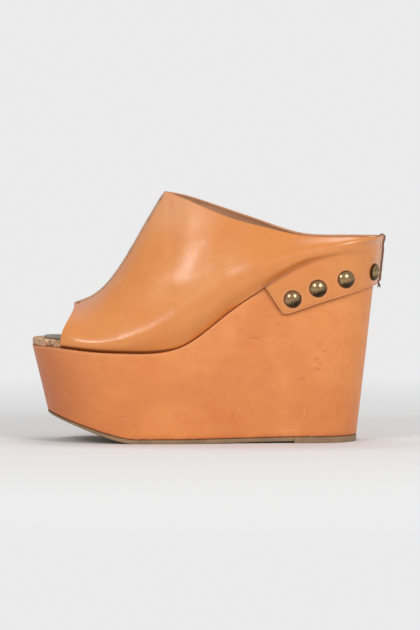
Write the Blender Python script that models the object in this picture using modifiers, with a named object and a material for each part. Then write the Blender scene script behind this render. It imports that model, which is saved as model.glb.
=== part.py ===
"""Platform wedge mule, left shoe. Metres, +Z up, toe towards -X, outer side of the foot towards -Y.

The model is laid out with x = 0 at the toe tip of the wedge's deck, y = 0 on the last's centre line and z = 0 on
the floor. At the end everything is shifted along x and y so that the origin is under the middle of the shoe.
"""

import math

import bmesh
import bpy
import numpy as np
from mathutils import Matrix, Vector

# Overall sizes of the wedge and its deck, the surface that carries the footbed
DECK_LENGTH = 0.229
BALL_WIDTH = 0.0875
PLATFORM_HEIGHT = 0.0595
HEEL_HEIGHT = 0.1257
DECK_EDGE_RADIUS = 0.0012

# Round ends of the deck in plan
TOE_ROUND_LENGTH = 0.050
TOE_ROUND_POWER = 2.25
HEEL_ROUND_LENGTH = 0.036
HEEL_ROUND_POWER = 2.3

# The sole is shorter than the deck at both ends, and narrower by the taper of the walls
TOE_UNDERCUT = 0.0104
HEEL_UNDERCUT = 0.0136
SIDE_TAPER = 0.0022

# Sole and heel top piece
OUTSOLE_THICKNESS = 0.0027
OUTSOLE_TOE_THICKNESS = 0.0014
TOP_PIECE_THICKNESS = 0.0040
TOP_PIECE_LENGTH = 0.0418
TOE_SPRING = 0.0190
TOE_SPRING_START = 0.0700
TOE_SPRING_EASE = 0.0155
ARCH_START = 0.1080
TREAD_EDGE_BEVEL = 0.0006

# Layers on the deck
GAP = 0.0003
FOOTBED_THICKNESS = 0.0045
FOOTBED_TOE_INSET = 0.0004
FOOTBED_EDGE_RADIUS = 0.0012
SOCK_THICKNESS = 0.0012
SOCK_TOE_INSET = 0.0075
SOCK_EDGE_INSET = 0.0009

# Upper
UPPER_WALL = 0.0020
PEEP_SETBACK = 0.0184
PEEP_CROWN_SETBACK = 0.0280
PEEP_CROWN_HEIGHT = 0.0911
THROAT_SETBACK = 0.0884
THROAT_FOOT_LAG = 0.0090
THROAT_HEIGHT = 0.1653
COLLAR_HEIGHT = 0.1358
COLLAR_OVERHANG = 0.0035
FRONT_TUCK = 0.0026
FLAP_STANDOFF = 0.0002
STANDOFF_EASE = 0.0260
UNDERCUT_OUT = 0.55
UNDERCUT_UP = 0.40
HEEL_TURN_START = 0.50
HEEL_TURN_END = 0.75

# Flap of the upper that is nailed to the outside of the wedge round the heel, measured from the centre back
FLAP_LENGTH = 0.0748
FLAP_FRONT_SLANT = 0.0143
FLAP_DEPTH = 0.0288
FLAP_CORNER_RADIUS = 0.0022

# Raised seams at the centre back and the centre front
BACK_SEAM_HEIGHT = 0.0022
BACK_SEAM_WIDTH = 0.0034
FRONT_SEAM_HEIGHT = 0.0006
FRONT_SEAM_WIDTH = 0.0026

# Dome studs on nails
STUD_RADIUS = 0.0056
STUD_DOME_HEIGHT = 0.0025
STUD_RIM_HEIGHT = 0.0005
NAIL_RADIUS = 0.0010
NAIL_LENGTH = 0.0090
NAIL_CLEARANCE = 0.0003

# How finely the forms are divided
DECK_STEPS = 40
LOWER_WALL_STEPS = 4
UPPER_WALL_STEPS = 8
FLAP_STEPS = 4
STUD_SIDES = 16
DOME_STEPS = 4

LATERAL = -1
MEDIAL = 1


class Table:
    """A short table with named columns, read as smooth curves against its first column."""

    def __init__(self, names, *rows):
        self.names = names.split()
        self.columns = dict(zip(self.names, np.array(rows, float).T))
        self.at = self.columns[self.names[0]]
        self.bends = {name: self.second_slopes(column) for name, column in self.columns.items()}

    def second_slopes(self, column):
        """Second derivatives at the rows of the natural cubic curve through a column."""
        count = len(self.at)
        width = np.diff(self.at)
        matrix = np.eye(count)
        right = np.zeros(count)
        for row in range(1, count - 1):
            before, after = width[row - 1], width[row]
            matrix[row, row - 1 : row + 2] = before, 2 * (before + after), after
            rise_after = (column[row + 1] - column[row]) / after
            rise_before = (column[row] - column[row - 1]) / before
            right[row] = 6 * (rise_after - rise_before)
        return np.linalg.solve(matrix, right)

    def read(self, name, at):
        column, bend = self.columns[name], self.bends[name]
        at = min(max(at, self.at[0]), self.at[-1])
        row = min(int(np.searchsorted(self.at, at, side="right")) - 1, len(self.at) - 2)
        width = self.at[row + 1] - self.at[row]
        far = (at - self.at[row]) / width
        near = 1 - far
        curve = (near**3 - near) * bend[row] + (far**3 - far) * bend[row + 1]
        return near * column[row] + far * column[row + 1] + curve * width**2 / 6


# Plan of the deck: place as a share of its length, centre line and half width as shares of the ball width
PLAN = Table(
    "along centre half",
    (0.00, 0.030, 0.480),
    (0.15, 0.022, 0.488),
    (0.30, 0.000, 0.492),
    (0.42, -0.018, 0.462),
    (0.55, -0.022, 0.412),
    (0.70, -0.008, 0.376),
    (0.85, 0.000, 0.366),
    (1.00, 0.004, 0.360),
)

# Side view of the deck: place along it, and rise as a share of the climb from platform height to heel height
PROFILE = Table(
    "along rise",
    (0.000, 0.066),
    (0.085, 0.048),
    (0.180, 0.014),
    (0.283, 0.000),
    (0.387, 0.017),
    (0.443, 0.078),
    (0.499, 0.205),
    (0.561, 0.376),
    (0.630, 0.550),
    (0.673, 0.651),
    (0.721, 0.758),
    (0.804, 0.886),
    (0.874, 0.960),
    (1.000, 1.000),
)

# Centre line of the vamp from the peep's crown to the throat: shares of the run and of the climb
VAMP = Table(
    "along run rise",
    (0.00, 0.000, 0.000),
    (0.25, 0.257, 0.092),
    (0.50, 0.522, 0.344),
    (0.75, 0.786, 0.710),
    (1.00, 1.000, 1.000),
)

# Top edge from the throat to the centre back: share of the run, drops as shares of the fall from throat to collar,
# and half opening as a share of the deck's half width at the same place
TOP_EDGE = Table(
    "along run lateral_drop medial_drop opening",
    (0.00, 0.000, 0.000, 0.000, 0.000),
    (0.10, 0.090, 0.165, 0.090, 0.330),
    (0.20, 0.197, 0.385, 0.255, 0.565),
    (0.32, 0.330, 0.625, 0.480, 0.730),
    (0.45, 0.470, 0.800, 0.715, 0.825),
    (0.58, 0.610, 0.945, 0.930, 0.895),
    (0.72, 0.770, 1.005, 1.005, 0.950),
    (0.86, 0.925, 1.010, 1.010, 0.985),
    (1.00, 1.000, 1.000, 1.000, 1.000),
)

# Sections of the upper, by the place of their foot along the deck. Out and up: the widest point, outwards from the
# foot as a share of the ball width, and above it as a share of the section's height. Slide: its shift towards the top
# edge, as a share of the slant. Turn: how far the wall stays upright above it, as a share of the height. Reach and
# fall: the curve's last handle, outwards from the top edge as a share of the ball width and down from it as a share
# of the height. Lean: that handle's shift towards the foot, as a share of the slant.
SECTIONS = Table(
    "along out up slide turn reach fall lean",
    (0.080, 0.036, 0.145, 0.005, 0.360, 0.255, 0.180, -0.20),
    (0.163, 0.043, 0.140, 0.080, 0.140, 0.270, 0.095, 0.05),
    (0.250, 0.050, 0.135, 0.130, 0.100, 0.256, 0.130, 0.20),
    (0.338, 0.058, 0.150, 0.160, 0.085, 0.222, 0.165, 0.30),
    (0.425, 0.068, 0.172, 0.180, 0.080, 0.188, 0.185, 0.30),
    (0.513, 0.076, 0.195, 0.200, 0.060, 0.120, 0.240, 0.30),
    (0.600, 0.075, 0.250, 0.250, 0.100, 0.090, 0.280, 0.30),
    (0.680, 0.056, 0.320, 0.300, 0.150, 0.080, 0.300, 0.20),
    (0.775, 0.040, 0.380, 0.300, 0.250, 0.060, 0.250, 0.10),
    (0.862, 0.020, 0.400, 0.200, 0.300, 0.030, 0.220, 0.00),
    (0.930, 0.008, 0.400, 0.100, 0.300, 0.018, 0.220, 0.00),
    (1.000, 0.000, 0.400, 0.000, 0.300, 0.004, 0.250, 0.00),
)

# Lower edge of the flap, from its corner to the centre back: depth below the deck as a share of the flap's depth
FLAP = Table(
    "along depth",
    (0.00, 0.980),
    (0.16, 1.000),
    (0.37, 1.003),
    (0.59, 0.975),
    (0.79, 0.890),
    (1.00, 0.757),
)

# Studs on each side, from the flap's corner to the centre back, and their height above the flap's lower edge
STUDS = Table(
    "along height",
    (0.085, 0.0094),
    (0.364, 0.0107),
    (0.659, 0.0110),
    (0.948, 0.0096),
)


def smoothstep(value, low, high):
    share = min(max((value - low) / (high - low), 0.0), 1.0)
    return share * share * (3 - 2 * share)


def end_cap(distance, length, power):
    """Share of the full width at a distance from a round end."""
    if distance >= length:
        return 1.0
    return max(0.0, 1 - ((length - distance) / length) ** power) ** (1 / power)


def turn_at(x):
    """Turn parameter of a place along the deck: 0 at the toe tip, 1 at the centre back, closer steps at both ends."""
    return math.acos(1 - 2 * min(max(x / DECK_LENGTH, 0.0), 1.0)) / math.pi


def along_at(turn):
    return (1 - math.cos(math.pi * turn)) / 2


def half_width(x):
    caps = end_cap(x, TOE_ROUND_LENGTH, TOE_ROUND_POWER)
    caps *= end_cap(DECK_LENGTH - x, HEEL_ROUND_LENGTH, HEEL_ROUND_POWER)
    return PLAN.read("half", x / DECK_LENGTH) * BALL_WIDTH * caps


def deck_edge(side, turn):
    """Point of the deck's plan outline."""
    along = along_at(turn)
    x = along * DECK_LENGTH
    centre = PLAN.read("centre", along) * BALL_WIDTH
    return Vector((x, centre + side * half_width(x)))


def outward(side, turn):
    """Level unit vector that points out of the deck's outline."""
    step = 1e-4
    before = deck_edge(side, max(turn - step, 0.0))
    after = deck_edge(side, min(turn + step, 1.0))
    along = (after - before).normalized()
    return Vector((-along.y, along.x)) * side


def deck_height(x):
    rise = PROFILE.read("rise", x / DECK_LENGTH)
    return PLATFORM_HEIGHT + rise * (HEEL_HEIGHT - PLATFORM_HEIGHT)


def sole_edge(side, turn):
    """Point of the outline where the wedge's wall meets the sole."""
    along = along_at(turn)
    length = DECK_LENGTH - TOE_UNDERCUT - HEEL_UNDERCUT
    centre = PLAN.read("centre", along) * BALL_WIDTH
    width = half_width(along * DECK_LENGTH)
    narrowed = width * (1 - SIDE_TAPER / (BALL_WIDTH / 2))
    return Vector((TOE_UNDERCUT + along * length, centre + side * narrowed))


def top_piece_front():
    return DECK_LENGTH - HEEL_UNDERCUT - TOP_PIECE_LENGTH


def tread_height(x):
    """Height of the outsole's underside: toe spring, flat tread, then the slow rise of the waist."""

    def ease(distance):
        return math.hypot(distance, TOE_SPRING_EASE) - TOE_SPRING_EASE

    if x < TOE_SPRING_START:
        return TOE_SPRING * ease(TOE_SPRING_START - x) / ease(TOE_SPRING_START - TOE_UNDERCUT)
    rise = (x - ARCH_START) / (top_piece_front() - ARCH_START)
    return (TOP_PIECE_THICKNESS - OUTSOLE_THICKNESS) * min(max(rise, 0.0), 1.0)


def outsole_top(x):
    full = smoothstep(x, TOE_UNDERCUT, TOE_SPRING_START)
    return tread_height(x) + OUTSOLE_TOE_THICKNESS + full * (OUTSOLE_THICKNESS - OUTSOLE_TOE_THICKNESS)


def wedge_bottom(x):
    return outsole_top(x) + GAP


def wall_point(side, turn, depth):
    """Point of the wedge's side wall at a depth below the deck, on the straight line from deck edge to sole."""
    top = deck_edge(side, turn)
    foot = sole_edge(side, turn)
    top_z = deck_height(top.x)
    foot_z = wedge_bottom(foot.x)
    share = depth / (top_z - foot_z)
    level = top.lerp(foot, share)
    return Vector((level.x, level.y, top_z - depth))


def ring(place, square_heel):
    """Points from place(side, turn), toe to heel on the lateral side and back on the medial side.

    The two sides share their point at the toe, and also the one at the heel unless the piece is cut square there.
    """
    turns = [step / DECK_STEPS for step in range(DECK_STEPS + 1)]
    lateral = [place(LATERAL, turn) for turn in turns]
    medial = [place(MEDIAL, turn) for turn in turns]
    return lateral + (medial[1:] if square_heel else medial[1:-1])[::-1]


def offset_point(side, turn, offset, height):
    """Point off the deck's outline by a distance outwards, at a height given as a function of x."""
    level = deck_edge(side, turn) + outward(side, turn) * offset
    return Vector((level.x, level.y, height(level.x)))


def new_object(name, mesh, collection):
    found = bpy.data.objects.new(name, mesh)
    collection.objects.link(found)
    return found


def shade(mesh, angle=35):
    mesh.shade_smooth()
    mesh.set_sharp_from_angle(angle=math.radians(angle))


def loft(name, places, collection, square_heel=False):
    """Closed solid through a ring of points for each place, lowest first, with strips across its two ends."""
    build = bmesh.new()
    rows = [[build.verts.new(point) for point in ring(place, square_heel)] for place in places]
    count = len(rows[0])
    for low, high in zip(rows, rows[1:]):
        for here in range(count):
            there = (here + 1) % count
            build.faces.new((low[here], low[there], high[there], high[here]))
    for row in (rows[0], rows[-1]):
        for here in range(DECK_STEPS):
            corners = (row[here], row[here + 1], row[count - here - 1], row[(count - here) % count])
            build.faces.new(tuple(dict.fromkeys(corners)))
    bmesh.ops.recalc_face_normals(build, faces=build.faces)
    mesh = bpy.data.meshes.new(name)
    build.to_mesh(mesh)
    build.free()
    shade(mesh)
    return new_object(name, mesh, collection)


def make_wedge(collection):
    def sole_ring(side, turn):
        edge = sole_edge(side, turn)
        return Vector((edge.x, edge.y, wedge_bottom(edge.x)))

    def wall_ring(side, turn):
        return wall_point(side, turn, DECK_EDGE_RADIUS)

    def deck_ring(inset, drop):
        def place(side, turn):
            return offset_point(side, turn, -inset, lambda x: deck_height(x) - drop)

        return place

    soft = DECK_EDGE_RADIUS * (1 - math.sqrt(0.5))
    places = (sole_ring, wall_ring, deck_ring(soft, soft), deck_ring(DECK_EDGE_RADIUS, 0.0))
    return loft("platform_wedge", places, collection)


def sole_point(side, turn, inset, height):
    edge = sole_edge(side, turn)
    level = edge - outward(side, turn) * inset
    return Vector((level.x, level.y, height(level.x)))


def make_outsole(collection):
    """Outsole from the toe to the front of the heel's top piece."""
    end = top_piece_front() - GAP
    span = DECK_LENGTH - TOE_UNDERCUT - HEEL_UNDERCUT
    last_turn = math.acos(1 - 2 * (end - TOE_UNDERCUT) / span) / math.pi

    def at(inset, height):
        def place(side, turn):
            point = sole_point(side, turn * last_turn, inset, height)
            point.x = min(point.x, end)
            return point

        return place

    places = (
        at(TREAD_EDGE_BEVEL, tread_height),
        at(0.0, lambda x: tread_height(x) + TREAD_EDGE_BEVEL),
        at(0.0, outsole_top),
    )
    return loft("outsole", places, collection, square_heel=True)


def make_top_piece(collection):
    """Heel top piece: the flat block under the heel, square at its front."""
    front = top_piece_front()
    span = DECK_LENGTH - TOE_UNDERCUT - HEEL_UNDERCUT
    first_turn = math.acos(1 - 2 * (front - TOE_UNDERCUT) / span) / math.pi

    def at(inset, height):
        def place(side, turn):
            back_turn = 1 - turn * (1 - first_turn)
            point = sole_point(side, back_turn, inset, lambda x: height)
            point.x = max(point.x, front)
            return point

        return place

    places = (
        at(TREAD_EDGE_BEVEL, 0.0),
        at(0.0, TREAD_EDGE_BEVEL),
        at(0.0, TOP_PIECE_THICKNESS),
    )
    return loft("heel_top_piece", places, collection, square_heel=True)


def flap_front():
    """Place along the deck, in metres, where the flap's front edge leaves the deck."""
    return DECK_LENGTH - FLAP_LENGTH


def flap_corner():
    return flap_front() + FLAP_FRONT_SLANT


def flap_share(turn):
    """Share of the run from the flap's corner to the centre back."""
    return (along_at(turn) * DECK_LENGTH - flap_corner()) / (DECK_LENGTH - flap_corner())


def flap_standoff():
    """Distance from the wedge's wall to the outer face of the flap."""
    return GAP + FLAP_STANDOFF + UPPER_WALL


def foot_offset(turn):
    """How far the upper's outer face stands out from the deck's edge at its foot."""
    share = smoothstep(along_at(turn) * DECK_LENGTH, flap_front() - STANDOFF_EASE, flap_front())
    return share * flap_standoff() - (1 - share) * FRONT_TUCK


def footbed_offset(turn):
    """Outline of the footbed: inside the upper's wall, and out to the deck's edge at the open toe."""
    inside = foot_offset(turn) - UPPER_WALL - GAP
    covered = smoothstep(along_at(turn) * DECK_LENGTH, 0.0, PEEP_SETBACK - UPPER_WALL)
    return covered * inside - (1 - covered) * FOOTBED_TOE_INSET


def sock_offset(turn):
    covered = smoothstep(along_at(turn) * DECK_LENGTH, 0.0, 2 * PEEP_SETBACK)
    return footbed_offset(turn) - SOCK_EDGE_INSET * covered - SOCK_TOE_INSET * (1 - covered)


def make_layer(name, offset_at, base, thickness, edge_radius, collection):
    """Even layer that follows the deck, with a rounded upper edge."""

    def at(inset, lift):
        def place(side, turn):
            return offset_point(side, turn, offset_at(turn) - inset, lambda x: deck_height(x) + lift)

        return place

    soft = edge_radius * (1 - math.sqrt(0.5))
    top = base + thickness
    places = (at(0.0, base), at(0.0, top - edge_radius), at(soft, top - soft), at(edge_radius, top))
    return loft(name, places, collection)


def make_footbed(collection):
    return make_layer("footbed", footbed_offset, GAP, FOOTBED_THICKNESS, FOOTBED_EDGE_RADIUS, collection)


def make_sock(collection):
    base = GAP + FOOTBED_THICKNESS + GAP
    return make_layer("insole_sock", sock_offset, base, SOCK_THICKNESS, SOCK_THICKNESS / 3, collection)


def throat_foot():
    """Place along the deck, in metres, of the foot of the section that ends at the throat."""
    return THROAT_SETBACK + THROAT_FOOT_LAG


def crown_point(side, turn):
    """Top of a section: on the vamp's centre line ahead of the throat, on the top edge behind it."""
    foot_x = along_at(turn) * DECK_LENGTH
    if foot_x <= throat_foot():
        share = (foot_x - PEEP_SETBACK) / (throat_foot() - PEEP_SETBACK)
        run, rise = VAMP.read("run", share), VAMP.read("rise", share)
        x = PEEP_CROWN_SETBACK + run * (THROAT_SETBACK - PEEP_CROWN_SETBACK)
        z = PEEP_CROWN_HEIGHT + rise * (THROAT_HEIGHT - PEEP_CROWN_HEIGHT)
        return Vector((x, 0.0, z))
    share = (foot_x - throat_foot()) / (DECK_LENGTH - throat_foot())
    back = DECK_LENGTH + COLLAR_OVERHANG
    x = THROAT_SETBACK + TOP_EDGE.read("run", share) * (back - THROAT_SETBACK)
    edge = deck_edge(side, turn)
    drop = TOP_EDGE.read("lateral_drop" if side == LATERAL else "medial_drop", share)
    y = edge.y * TOP_EDGE.read("opening", share)
    return Vector((x, y, THROAT_HEIGHT - drop * (THROAT_HEIGHT - COLLAR_HEIGHT)))


def curve_points(start, leave, arrive, end, steps):
    """Points of a cubic curve after its start, given its two handles."""
    points = []
    for step in range(1, steps + 1):
        far = step / steps
        near = 1 - far
        points.append(start * near**3 + leave * 3 * near**2 * far + arrive * 3 * near * far**2 + end * far**3)
    return points


def section(side, turn):
    """Points of the upper's outer face from its foot at the deck's edge up to its top edge or centre line."""
    along = along_at(turn)
    row = {name: SECTIONS.read(name, along) for name in SECTIONS.names}
    edge = deck_edge(side, turn)
    out = outward(side, turn)
    level = edge + out * foot_offset(turn)
    foot = Vector((level.x, level.y, deck_height(edge.x) + GAP))
    crown = crown_point(side, turn)
    height = crown.z - foot.z
    slant = crown.x - foot.x
    sideways = Vector((out.x * smoothstep(along, HEEL_TURN_START, HEEL_TURN_END), out.y, 0.0)).normalized()
    bulge = sideways * row["out"] * BALL_WIDTH
    rise = Vector((slant * row["slide"], 0.0, height * row["up"]))
    widest = foot + bulge + rise
    upright = rise / row["up"]
    leave = foot + bulge * UNDERCUT_OUT + rise * UNDERCUT_UP
    lower = curve_points(foot, leave, widest - rise / 2, widest, LOWER_WALL_STEPS)
    arrive = crown + sideways * row["reach"] * BALL_WIDTH
    arrive += Vector((-slant * row["lean"], 0.0, -height * row["fall"]))
    upper = curve_points(widest, widest + upright * row["turn"], arrive, crown, UPPER_WALL_STEPS)
    return [foot, *lower, *upper]


def flap_depth(turn):
    """Depth of the flap's lower edge below the deck: a slanted front edge, a round corner and the lower edge."""
    slant = (along_at(turn) * DECK_LENGTH - flap_front()) / FLAP_FRONT_SLANT * FLAP_DEPTH
    lower = FLAP.read("depth", flap_share(turn)) * FLAP_DEPTH
    rounded = (slant + lower) / 2 - math.hypot((slant - lower) / 2, FLAP_CORNER_RADIUS)
    start = FLAP.columns["depth"][0] * FLAP_DEPTH / 2
    least = start - math.hypot(start, FLAP_CORNER_RADIUS)
    return max(rounded - least, 0.0)


def flap_column(side, turn):
    """Points of the flap's outer face from its lower edge up to just below the deck's edge."""
    out = outward(side, turn)
    clear = Vector((*out * flap_standoff(), GAP))
    depth = flap_depth(turn)
    return [wall_point(side, turn, depth * (1 - step / FLAP_STEPS)) + clear for step in range(FLAP_STEPS)]


def upper_turns():
    """Turn parameters of the upper's sections, with one at each corner of its outline."""
    spans = (
        (PEEP_SETBACK, throat_foot(), 13),
        (throat_foot(), flap_front(), 8),
        (flap_front(), flap_corner(), 4),
        (flap_corner(), DECK_LENGTH, 15),
    )
    turns = [turn_at(PEEP_SETBACK)]
    for start, end, count in spans:
        first, last = turn_at(start), turn_at(end)
        turns += [first + (last - first) * step / count for step in range(1, count + 1)]
    return turns


def upper_surface(name):
    """The upper's outer face as one open surface, both sides joined at the vamp's centre line and the back."""
    build = bmesh.new()
    flap_turn = turn_at(flap_front())
    for side in (LATERAL, MEDIAL):
        columns = []
        for turn in upper_turns():
            low = flap_column(side, turn) if turn >= flap_turn - 1e-9 else [None] * FLAP_STEPS
            columns.append([point and build.verts.new(point) for point in low + section(side, turn)])
        for near, far in zip(columns, columns[1:]):
            for row in range(FLAP_STEPS + LOWER_WALL_STEPS + UPPER_WALL_STEPS):
                corners = (near[row], far[row], far[row + 1], near[row + 1])
                if all(corners):
                    build.faces.new(corners if side == LATERAL else corners[::-1])
    bmesh.ops.remove_doubles(build, verts=build.verts, dist=1e-5)
    bmesh.ops.recalc_face_normals(build, faces=build.faces)
    mesh = bpy.data.meshes.new(name)
    build.to_mesh(mesh)
    build.free()
    return mesh


def seam_plate(name, line, height, width, collection):
    """Flat plate on the plane y = 0 that follows a line of points, from inside the wall out to the seam's height."""
    depth = UPPER_WALL / 2
    outer, inner = [], []
    for here, point in enumerate(line):
        before, after = line[max(here - 1, 0)], line[min(here + 1, len(line) - 1)]
        along = (after - before).normalized()
        out = Vector((-along.z, 0.0, along.x))
        outer.append(point + out * height)
        inner.append(point - out * depth)
    corners = outer + inner[::-1]
    curve = bpy.data.curves.new(name, "CURVE")
    curve.dimensions = "2D"
    curve.fill_mode = "BOTH"
    curve.extrude = width / 2
    spline = curve.splines.new("POLY")
    spline.points.add(len(corners) - 1)
    for spot, corner in zip(spline.points, corners):
        spot.co = (corner.x, corner.z, 0.0, 1.0)
    spline.use_cyclic_u = True
    flat = new_object(name + "_outline", curve, collection)
    flat.rotation_euler.x = math.pi / 2
    bpy.context.view_layer.update()
    evaluated = flat.evaluated_get(bpy.context.evaluated_depsgraph_get())
    mesh = bpy.data.meshes.new_from_object(evaluated)
    plate = new_object(name, mesh, collection)
    plate.matrix_world = flat.matrix_world.copy()
    bpy.data.objects.remove(flat)
    build = bmesh.new()
    build.from_mesh(mesh)
    bmesh.ops.remove_doubles(build, verts=build.verts, dist=1e-6)
    bmesh.ops.recalc_face_normals(build, faces=build.faces)
    build.to_mesh(mesh)
    build.free()
    return as_cutter(plate)


def as_cutter(found):
    found.hide_render = True
    found.display_type = "WIRE"
    return found


def stud_matrix(side, row):
    """Frame of a stud: z out of the flap's outer face, origin on that face."""
    run = DECK_LENGTH - flap_corner()
    turn = turn_at(flap_corner() + STUDS.columns["along"][row] * run)
    depth = flap_depth(turn) - STUDS.columns["height"][row]
    level = Vector((*outward(side, turn), 0.0))
    slope = wall_point(side, turn, 0.0) - wall_point(side, turn, FLAP_DEPTH)
    out = level - slope * level.dot(slope) / slope.length_squared
    place = wall_point(side, turn, depth) + level * flap_standoff()
    return Matrix.Translation(place) @ out.to_track_quat("Z", "Y").to_matrix().to_4x4()


def all_stud_matrices():
    rows = range(len(STUDS.at))
    named = {}
    for side, word in ((LATERAL, "lateral"), (MEDIAL, "medial")):
        for row in rows:
            named[f"stud_{word}_{row + 1}"] = stud_matrix(side, row)
    return named


def make_nail_holes(collection):
    """Cutter of round holes that run from outside the flap into the wedge."""
    build = bmesh.new()
    length = NAIL_LENGTH + NAIL_CLEARANCE + STUD_DOME_HEIGHT
    middle = Matrix.Translation((0.0, 0.0, STUD_DOME_HEIGHT - length / 2))
    for matrix in all_stud_matrices().values():
        radius = NAIL_RADIUS + NAIL_CLEARANCE
        bmesh.ops.create_cone(
            build,
            cap_ends=True,
            segments=STUD_SIDES // 2,
            radius1=radius,
            radius2=radius,
            depth=length,
            matrix=matrix @ middle,
        )
    mesh = bpy.data.meshes.new("nail_holes")
    build.to_mesh(mesh)
    build.free()
    return as_cutter(new_object("nail_holes", mesh, collection))


def add_boolean(found, cutter, operation):
    modifier = found.modifiers.new(f"{operation.lower()}_{cutter.name}", "BOOLEAN")
    modifier.operation = operation
    modifier.object = cutter


def make_upper(collection, cutters, nail_holes):
    upper = new_object("upper", upper_surface("upper"), collection)
    wall = upper.modifiers.new("wall", "SOLIDIFY")
    wall.thickness = UPPER_WALL
    wall.offset = -1.0
    wall.use_even_offset = True
    wall.use_quality_normals = True
    turns = upper_turns()
    back_line = flap_column(LATERAL, 1.0) + section(LATERAL, 1.0)
    back_line = [Vector((point.x, 0.0, point.z)) for point in back_line][::-1]
    vamp_turns = [turn for turn in turns if along_at(turn) * DECK_LENGTH <= throat_foot() + 1e-9]
    front_line = [crown_point(LATERAL, turn) for turn in vamp_turns]
    add_boolean(upper, seam_plate("back_seam", back_line, BACK_SEAM_HEIGHT, BACK_SEAM_WIDTH, cutters), "UNION")
    add_boolean(upper, seam_plate("front_seam", front_line, FRONT_SEAM_HEIGHT, FRONT_SEAM_WIDTH, cutters), "UNION")
    add_boolean(upper, nail_holes, "DIFFERENCE")
    return upper


def stud_mesh():
    """Profile of a dome head on a pointed nail, turned about z by the Screw modifier."""
    dome_radius = (STUD_RADIUS**2 + STUD_DOME_HEIGHT**2) / (2 * STUD_DOME_HEIGHT)
    sweep = math.asin(STUD_RADIUS / dome_radius)
    base = GAP + STUD_RIM_HEIGHT
    profile = []
    for step in range(DOME_STEPS + 1):
        angle = sweep * step / DOME_STEPS
        height = base + STUD_DOME_HEIGHT - dome_radius * (1 - math.cos(angle))
        profile.append((dome_radius * math.sin(angle), height))
    profile += [
        (STUD_RADIUS, GAP),
        (NAIL_RADIUS, GAP),
        (NAIL_RADIUS, -NAIL_LENGTH + 2 * NAIL_RADIUS),
        (0.0, -NAIL_LENGTH),
    ]
    mesh = bpy.data.meshes.new("stud")
    edges = [(spot, spot + 1) for spot in range(len(profile) - 1)]
    mesh.from_pydata([(radius, 0.0, height) for radius, height in profile], edges, [])
    return mesh


def make_studs(collection):
    mesh = stud_mesh()
    studs = []
    for name, matrix in all_stud_matrices().items():
        stud = new_object(name, mesh, collection)
        stud.matrix_world = matrix
        turned = stud.modifiers.new("turned", "SCREW")
        turned.steps = turned.render_steps = STUD_SIDES
        turned.use_merge_vertices = True
        turned.merge_threshold = 0.00001
        turned.use_smooth_shade = True
        studs.append(stud)
    return studs


def material(name, colour, roughness, metallic=0.0):
    made = bpy.data.materials.new(name)
    made.use_nodes = True
    shader = made.node_tree.nodes["Principled BSDF"]
    shader.inputs["Base Color"].default_value = (*colour, 1.0)
    shader.inputs["Roughness"].default_value = roughness
    shader.inputs["Metallic"].default_value = metallic
    return made


def paint(pieces, made):
    for piece in pieces:
        if not piece.data.materials:
            piece.data.materials.append(made)


def centre_over_origin(pieces):
    """Moves the whole shoe so that the origin lies on the floor under the middle of its bounding box."""
    bpy.context.view_layer.update()
    graph = bpy.context.evaluated_depsgraph_get()
    corners = []
    for piece in pieces:
        evaluated = piece.evaluated_get(graph)
        corners += [evaluated.matrix_world @ Vector(corner) for corner in evaluated.bound_box]
    middle = [(min(c[axis] for c in corners) + max(c[axis] for c in corners)) / 2 for axis in (0, 1)]
    return Vector((-middle[0], -middle[1], 0.0))


def main():
    for found in list(bpy.data.objects):
        bpy.data.objects.remove(found)
    shoe = bpy.data.collections.new("platform_mule")
    cutters = bpy.data.collections.new("cutters")
    for collection in (shoe, cutters):
        bpy.context.scene.collection.children.link(collection)

    nail_holes = make_nail_holes(cutters)
    wedge = make_wedge(shoe)
    add_boolean(wedge, nail_holes, "DIFFERENCE")
    outsole = make_outsole(shoe)
    top_piece = make_top_piece(shoe)
    footbed = make_footbed(shoe)
    sock = make_sock(shoe)
    upper = make_upper(shoe, cutters, nail_holes)
    studs = make_studs(shoe)

    paint([upper], material("upper_leather", (0.80, 0.34, 0.13), 0.38))
    paint([wedge], material("wedge_leather", (0.74, 0.28, 0.10), 0.45))
    paint([footbed], material("cork", (0.56, 0.33, 0.18), 0.75))
    paint([sock], material("sock_leather", (0.30, 0.23, 0.19), 0.60))
    paint([outsole, top_piece], material("sole_rubber", (0.25, 0.17, 0.11), 0.70))
    paint(studs, material("aged_brass", (0.33, 0.24, 0.12), 0.32, 1.0))

    root = bpy.data.objects.new("shoe_origin", None)
    shoe.objects.link(root)
    pieces = [wedge, outsole, top_piece, footbed, sock, upper, *studs]
    shift = centre_over_origin(pieces)
    for piece in [*pieces, *cutters.objects]:
        piece.parent = root
    root.location = shift


main()
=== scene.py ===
"""Looks of the platform wedge mule, left shoe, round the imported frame. Metres, +Z up, toe towards -X.

Forms are laid out as in the construction: x = 0 at the toe tip of the wedge's deck, y = 0 on the last's
centre line and z = 0 on the floor. Every piece keeps this layout in its mesh, and its object is shifted to
the frame's place.
"""

import math

import bmesh
import bpy
import numpy as np
from mathutils import Matrix, Vector, kdtree, noise


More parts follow.
